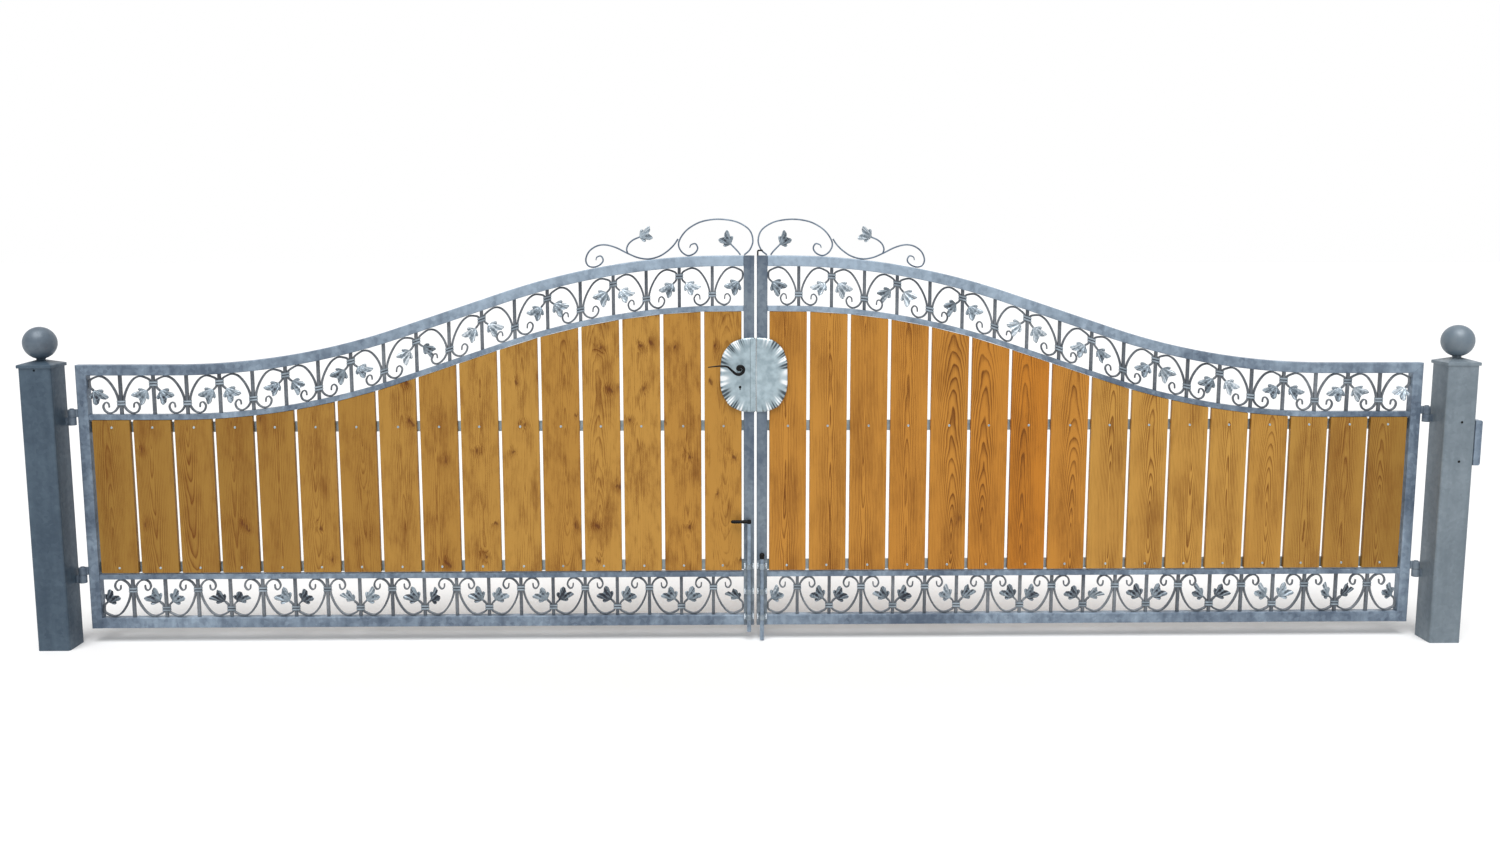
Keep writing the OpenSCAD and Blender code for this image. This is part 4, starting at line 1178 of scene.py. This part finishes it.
class GATE_OT_lock(bpy.types.Operator):
    """Hammer the lock shield and forge its lever"""

    bl_idname = "gate.lock"
    bl_label = "Lock"

    power = 2.7
    plate = 3 * MM
    sheet = 2 * MM
    seam = 2.2 * MM
    # Strip on the left half's edge, about the lock edge and inside the shield's foot and top
    cover = 2 * MM
    strip_in = 16 * MM
    strip_over = 4.5 * MM
    strip_end = 3 * MM
    strip_edge = 1.8 * MM
    # Lever: its spindle, in from the lock edge and up from the shield's middle, and the boss round it
    pivot_in = 54 * MM
    pivot_up = 24 * MM
    spindle_r = 6 * MM
    lever_out = 38 * MM
    boss_r = 13 * MM
    boss_out = 9 * MM
    boss_edge = 2.0 * MM
    boss_weld = 1.6 * MM
    # Keyhole under the spindle
    key_drop = 70 * MM
    key_r = 5 * MM
    key_w = 4 * MM
    key_h = 11 * MM
    key_out = 0.9 * MM
    key_in = 2 * MM

    def outline(self, reach, height, angle):
        """A point on the barrel-shaped outline."""
        across, up = math.cos(angle), math.sin(angle)
        return Vector((
            reach * abs(across) ** (2 / self.power),
            height / 2 * math.copysign(abs(up) ** (2 / self.power), up),
        ))

    def half(self, mesh, reach, middle, height, draw):
        """One half of the shield with a crinkled, fluted rim; x runs inwards from the lock edge."""
        size = bpy.context.scene.gate_fittings
        lumps, fine, inner = 6, 40, 0.58
        rows, cols = lumps * fine, 14
        widths = [0.6 + 0.8 * draw.random() for _ in range(lumps)]
        starts = [sum(widths[:n]) / sum(widths) for n in range(lumps + 1)]
        depths = [0.7 + 0.6 * draw.random() for _ in range(lumps)]
        ridges = [draw.choice((4, 5, 6)) for _ in range(lumps)]

        def wave(u, v):
            n = max(k for k in range(lumps) if starts[k] <= u + 1e-9)
            share = (u - starts[n]) / (starts[n + 1] - starts[n])
            rim = max(0.0, min(1.0, (v - inner) / (1 - inner)))
            rim = rim * rim * (3 - 2 * rim) * min(1.0, 8 * min(u, 1 - u))
            return share, depths[n], ridges[n], rim

        def place(u, v):
            share, depth, count, rim = wave(u, v)
            lump = 0.5 - 0.5 * math.cos(2 * math.pi * share)
            ripple = math.cos(2 * math.pi * count * share) * v ** 6
            flat = self.outline(reach + self.seam, height, math.pi * (0.5 - u))
            x, z = flat * v * (1 - 0.008 * rim * (1 - lump))
            lift = rim * size.flute * depth * (1.3 * lump + 0.22 * ripple)
            return Vector((LEAF_W + self.seam - x, -self.plate + self.sheet / 2 - lift, middle + z))

        # Painted light: lumps and ripples of the rim are painted lighter on one side and darker on the
        # other, and the straight edge at the lock is painted as a dark line of shade
        def painted_light(u, v):
            share, depth, count, rim = wave(u, v)
            if min(u, 1 - u) < 0.5 / rows:
                return -1.0
            ripple = math.sin(2 * math.pi * count * share) * v ** 6
            return rim * depth * (0.9 * math.sin(2 * math.pi * share) + 1.1 * ripple)

        skin(mesh, rows, cols, place, painted_light)

    def strip(self, foot, top, x, z):
        """The strip on the left half's edge, and the boss that the lever turns in."""
        front = -self.plate - self.cover
        mesh = bmesh.new()
        soft_block(
            mesh, (LEAF_W - self.strip_in, front, foot + self.strip_end),
            (LEAF_W + self.strip_over + self.seam, 0.0, top - self.strip_end), self.strip_edge,
        )
        strip_side_shade = painted_light_layer(mesh)
        # Painted shade: the strip's sides and back take the shade colour, and its front face keeps the
        # plain colour
        for vert in mesh.verts:
            vert[strip_side_shade] = -1.0 if vert.co.y > front + 0.2 * MM else 0.0
        rod(mesh, (x, 0, z), (x, -self.plate - self.boss_out, z), self.boss_r, self.boss_edge, 32)
        root = (x, -self.plate - 0.6 * MM, z)
        ring(mesh, root, self.boss_r + 0.2 * MM, self.boss_weld, 32, (0, 1, 0))
        leaf_piece(mesh, "left", "shield_strip", "bright_zinc", "shield")

    def keyhole(self, x, z):
        """A round hole over a slot, drawn as a black solid that stands for the shade inside the hole."""
        front, back, edge = -self.plate - self.key_out, -self.key_in, 0.3 * MM
        half_w = self.key_w / 2
        mesh = bmesh.new()
        rod(mesh, (x, back, z), (x, front, z), self.key_r, edge, 20)
        soft_block(mesh, (x - half_w, front, z - self.key_h), (x + half_w, back, z), edge, 1)
        leaf_piece(mesh, "left", "keyhole", "black_iron")

    def lever(self, x, z):
        """The forged lever, thinner from its middle to its tip, on its spindle."""
        size = bpy.context.scene.gate_fittings
        bar_y = -self.plate - self.lever_out - size.lever_t / 2
        curve = spline([(away * MM, up * MM) for away, up in LEVER], 5)
        line = [Vector((x - point.x, z + point.y)) for point in curve]
        last = len(line) - 1
        full, tip = 1.12, size.lever_tip / size.lever_t
        scales = [full - (full - tip) * max(0.0, 2 * n / last - 1) ** 0.8 for n in range(last + 1)]
        mesh = bmesh.new()
        sweep(mesh, line, oval_profile(size.lever_t, size.lever_t, 12), bar_y, scales)
        rod(mesh, (x, -self.plate, z), (x, bar_y, z), self.spindle_r, 0.8 * MM, 24)
        as_piece(mesh, "lever_forged", "lever", "black_iron", ("lever",), "left")

    def execute(self, context):
        size = context.scene.gate_fittings
        foot, top = heights("right_shield")
        middle = (foot + top) / 2
        draw = random.Random(31)
        for side, reach in (("left", size.shield_left), ("right", size.shield_right)):
            mesh = bmesh.new()
            self.half(mesh, reach, middle, top - foot, draw)
            leaf_piece(
                mesh, side, "shield_hammered", "bright_zinc", "shield", sharp=60.0, sheet=self.sheet
            )
        x, z = LEAF_W - self.pivot_in, middle + self.pivot_up
        self.strip(foot, top, x, z)
        self.keyhole(x, z - self.key_drop)
        self.lever(x, z)
        return {"FINISHED"}


class GATE_OT_hinges(bpy.types.Operator):
    """Turn the hinge barrels and weld their arms to posts and stiles"""

    bl_idname = "gate.hinges"
    bl_label = "Hinges"

    def execute(self, context):
        pin, barrel, arm, half = 8 * MM, 15 * MM, 14 * MM, 29.75 * MM
        rim, weld, pin_end = 1.6 * MM, 2.4 * MM, 4 * MM
        draw = random.Random(47)
        lug_low = heights("left_hinge_lugs")[LOW]
        eye_low, eye_high = heights("left_hinge_eyes")
        gap = LEAF_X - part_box("left_post")[HIGH][0]
        axis = -gap / 2
        feet = (eye_low, eye_high - half)
        for side in SIDES:
            lugs, eyes = bmesh.new(), bmesh.new()
            for foot in feet:
                drop = foot - (eye_low - lug_low)
                rod(lugs, (axis, 0, drop), (axis, 0, drop + half), barrel, rim, 36)
                rod(lugs, (axis, 0, drop + half), (axis, 0, foot + half + pin_end), pin, rim, 24)
                soft_block(lugs, (-gap, -arm / 2, drop), (axis, arm / 2, drop + half))
                for y in (-arm / 2, arm / 2):
                    bead(lugs, (-gap, y, drop + MM), (-gap, y, drop + half - MM), weld, draw)
                rod(eyes, (axis, 0, foot), (axis, 0, foot + half), barrel, rim, 36)
                soft_block(eyes, (axis, 0.0, foot), (0.0, arm, foot + half))
                bead(eyes, (0, arm, foot + MM), (0, arm, foot + half - MM), weld, draw)
            for mesh, name, body in ((lugs, "hinge_lugs", "posts"), (eyes, "hinge_eyes", f"{side}_leaf")):
                node = f"{side}_{name}"
                as_piece(mesh, f"{node}_welded", body, "dark_zinc", (node,), side, look="stile_zinc")
        return {"FINISHED"}


class GATE_OT_bolts(bpy.types.Operator):
    """Build the drop bolts with their guides, grip and knob, and the stop hook"""

    bl_idname = "gate.bolts"
    bl_label = "Drop bolts"

    # Wall of the saddles, and radius of the collars that hold the grip and the knob
    wall, collar_r = 3 * MM, 8 * MM

    def saddle(self, mesh, arch, x, z):
        """A strip bent to an arch (x, y), about a place on the leaf."""
        size = bpy.context.scene.gate_fittings
        section = rounded_profile(self.wall, size.loop_h, 0.8 * MM, 1)
        rows, cols = len(arch) - 1, len(section)

        def place(u, v):
            k = round(u * rows)
            thick, tall = section[round(v * cols) % cols]
            spot = arch[k] + sideways(arch, k) * thick
            return Vector((x + spot.x, spot.y, z + tall))

        close_ends(mesh, skin(mesh, rows, cols, place))

    def guide(self, side, radius):
        """A plate with three saddles over the bolt and a screw on each side of every saddle."""
        size = bpy.context.scene.gate_fittings
        foot, top = heights(f"{side}_bolt_guide")
        x, plate, wall = LEAF_W - LOCK_W / 2, 4 * MM, self.wall
        foot_w, fillet, play = 19 * MM, 2 * MM, 0.3 * MM
        screw_x, screw_r, screws_from = 15.6 * MM, 3.2 * MM, 12 * MM
        mesh = bmesh.new()
        soft_block(mesh, (LOCK_X, -plate, foot), (LEAF_W, 0.0, top))
        reach = radius + play + wall / 2
        seat = -plate - wall / 2
        turns = [math.pi * k / 12 for k in range(13)]
        over = [(-reach * math.cos(turn), -size.bolt_out - reach * math.sin(turn)) for turn in turns]
        arch = [Vector(point) for point in (
            (-foot_w, seat), (-reach - fillet, seat), *over, (reach + fillet, seat), (foot_w, seat),
        )]
        pitch = (top - foot - 2 * size.loop_h) / 2
        for n in range(3):
            z = foot + size.loop_h + n * pitch
            self.saddle(mesh, arch, x, z)
            for away in (-screw_x, screw_x):
                screw(mesh, (x + away, -plate - wall, z), screw_r)
        # Painted light: the screw heads take a painted highlight, and the plate is tinted part way towards
        # the painted shade colour
        shade = painted_light_layer(mesh)
        for vert in mesh.verts:
            on_plate = vert.co.y > -plate - 0.1 * MM
            on_screw = vert.co.y < -plate - wall and abs(vert.co.x - x) > screws_from
            vert[shade] = -0.4 if on_plate else 1.0 if on_screw else 0.0
        leaf_piece(mesh, side, "bolt_saddles", "zinc", "bolt_guide", look="stamped_zinc")

    def grip(self, x, y):
        """The left bolt's grip: a collar with a ribbed handle that points to the hinge."""
        foot, top = heights("left_grip")
        middle, thick = (foot + top) / 2, top - foot
        start, tip = x - 4 * MM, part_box("left_grip")[LOW][0] - LEAF_X
        last, rib = 30, 4
        mesh = bmesh.new()
        rod(mesh, (x, y, foot), (x, y, top), self.collar_r, 1.4 * MM, 24)
        line = [Vector((start + (tip - start) * n / last, middle)) for n in range(last + 1)]
        ribs = [0.90 + 0.10 * math.cos(2 * math.pi * n / rib) for n in range(last + 1)]
        scales = [ribs[n] * min(1.0, 0.45 + 0.25 * (last - n)) for n in range(last + 1)]
        sweep(mesh, line, oval_profile(thick, thick, 16), y, scales)
        as_piece(mesh, "left_grip_black", "left_bolt", "black_iron", ("left_grip",), "left")

    def knob(self, x, y):
        """The right bolt's round knob on its collar."""
        foot, top = heights("right_knob")
        head = node_span("right_knob", 0) / 2
        centre = (x, y, top - head)
        mesh = bmesh.new()
        rod(mesh, (x, y, foot), centre, self.collar_r, 1.0 * MM, 24)
        bmesh.ops.create_uvsphere(
            mesh, u_segments=28, v_segments=18, radius=head, matrix=Matrix.Translation(centre)
        )
        as_piece(mesh, "right_knob_black", "right_bolt", "black_iron", ("right_knob",), "right")

    def hook(self):
        """The stop hook: a bar up the right leaf's lock edge that turns inwards at its top."""
        foot, top = heights("stop_hook")
        reach, thick = node_span("stop_hook", 0), 6 * MM
        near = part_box("stop_hook")[LOW][1] - LEAF_Y + thick / 2
        places = (
            (thick / 2, foot), (thick / 2, top - thick), (0.7 * thick, top - 0.62 * thick),
            (thick, top - thick / 2), (reach, top - thick / 2),
        )
        bar = [Vector((LEAF_W - inwards, z)) for inwards, z in places]
        mesh = bmesh.new()
        sweep(mesh, bar, rounded_profile(thick, thick, EDGE, 2), near)
        as_piece(mesh, "stop_hook_black", "right_leaf", "black_iron", ("stop_hook",), "right")

    def execute(self, context):
        size = context.scene.gate_fittings
        x, y = LEAF_W - LOCK_W / 2, -size.bolt_out
        rim = 1.6 * MM
        for side in SIDES:
            name = f"{side}_bolt"
            radius = node_span(name, 0) / 2
            self.guide(side, radius)
            foot, top = heights(name)
            mesh = bmesh.new()
            rod(mesh, (x, y, foot), (x, y, top), radius, rim, 32)
            as_piece(mesh, f"{name}_rod", name, "zinc", (name,), side)
        self.grip(x, y)
        self.knob(x, y)
        self.hook()
        return {"FINISHED"}


class GATE_OT_stage(bpy.types.Operator):
    """Set the floor, the light and the camera"""

    bl_idname = "gate.stage"
    bl_label = "Stage"

    def execute(self, context):
        scene = context.scene
        scene.view_settings.view_transform = "Standard"
        middle = LEAF_X + LEAF_W
        mesh = bmesh.new()
        bmesh.ops.create_grid(
            mesh, x_segments=1, y_segments=1, size=FLOOR_REACH, matrix=Matrix.Translation((middle, 0, 0))
        )
        data = bpy.data.meshes.new("floor")
        mesh.to_mesh(data)
        mesh.free()
        floor = bpy.data.objects.new("floor", data)
        scene.collection.objects.link(floor)
        made, shader, where = shaded("studio_floor")
        pale = scene.gate_finish.floor
        dim = tuple(channel * 0.99 for channel in pale)
        feed(shader, "Base Color", blend(noise(where, 0.6, 2.0), pale, dim))
        shader.inputs["Roughness"].default_value = 0.9
        data.materials.append(made)
        floor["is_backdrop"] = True

        world = bpy.data.worlds.new("studio")
        scene.world = world
        world.use_nodes = True
        tree = world.node_tree
        sky = tree.nodes["Background"]
        path = tree.nodes.new("ShaderNodeLightPath")
        rays = ("Is Camera Ray", "Is Glossy Ray", "Is Transmission Ray")
        direct, glossy, through = (Val(tree, path.outputs[name]) for name in rays)
        seen = direct.maths("MAXIMUM", direct.maths("MAXIMUM", direct, glossy), through)
        tree.links.new((AMBIENT + seen * (1.0 - AMBIENT)).socket, sky.inputs["Strength"])
        sky.inputs["Color"].default_value = (1.0, 1.0, 1.0, 1.0)

        for name, strength, spread, towards in LAMPS:
            lamp = bpy.data.lights.new(name, "SUN")
            lamp.energy = strength
            lamp.angle = math.radians(spread)
            holder = bpy.data.objects.new(name, lamp)
            holder.rotation_mode = "QUATERNION"
            holder.rotation_quaternion = Vector(towards).to_track_quat("-Z", "Y")
            holder.location = (middle, -4.0, 6.0)
            scene.collection.objects.link(holder)

        lens = bpy.data.cameras.new("view")
        lens.sensor_width = CAMERA_SENSOR
        lens.lens = CAMERA_LENS
        camera = bpy.data.objects.new("view", lens)
        turn, tilt = math.radians(CAMERA_TURN), math.radians(CAMERA_TILT)
        level = math.cos(tilt)
        ahead = Vector((math.sin(turn) * level, math.cos(turn) * level, -math.sin(tilt)))
        camera.location = CAMERA_PLACE
        camera.rotation_mode = "QUATERNION"
        camera.rotation_quaternion = ahead.to_track_quat("-Z", "Y")
        scene.collection.objects.link(camera)
        scene.camera = camera
        return {"FINISHED"}


OPERATORS = (
    GATE_OT_posts, GATE_OT_frames, GATE_OT_boards, GATE_OT_friezes, GATE_OT_fronds, GATE_OT_crest,
    GATE_OT_lock, GATE_OT_hinges, GATE_OT_bolts, GATE_OT_stage,
)


class GATE_PT_panel(bpy.types.Panel):
    """The gate's sizes, colours and pieces"""

    bl_idname = "GATE_PT_panel"
    bl_label = "Driveway gate"
    bl_space_type = "VIEW_3D"
    bl_region_type = "UI"
    bl_category = "Gate"

    def draw(self, context):
        for name, group in GROUPS.items():
            box = self.layout.box()
            for key in group.__annotations__:
                box.prop(getattr(context.scene, name), key)
        for operator in OPERATORS:
            self.layout.operator(operator.bl_idname)


CLASSES = (*GROUPS.values(), *OPERATORS, GATE_PT_panel)


def register():
    for kind in CLASSES:
        bpy.utils.register_class(kind)
    for name, group in GROUPS.items():
        setattr(bpy.types.Scene, name, bpy.props.PointerProperty(type=group))


def unregister():
    for name in GROUPS:
        delattr(bpy.types.Scene, name)
    for kind in reversed(CLASSES):
        bpy.utils.unregister_class(kind)


def main():
    register()
    bpy.ops.gate.posts()
    bpy.ops.gate.frames()
    bpy.ops.gate.boards()
    bpy.ops.gate.friezes()
    bpy.ops.gate.fronds()
    bpy.ops.gate.crest()
    bpy.ops.gate.lock()
    bpy.ops.gate.hinges()
    bpy.ops.gate.bolts()
    bpy.ops.gate.stage()
    boxes = {"cad": CAD_BOX, "visual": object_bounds()}
    {key: [list(corner) for corner in box] for key, box in boxes.items()}


if __name__ == "__main__":
    main()
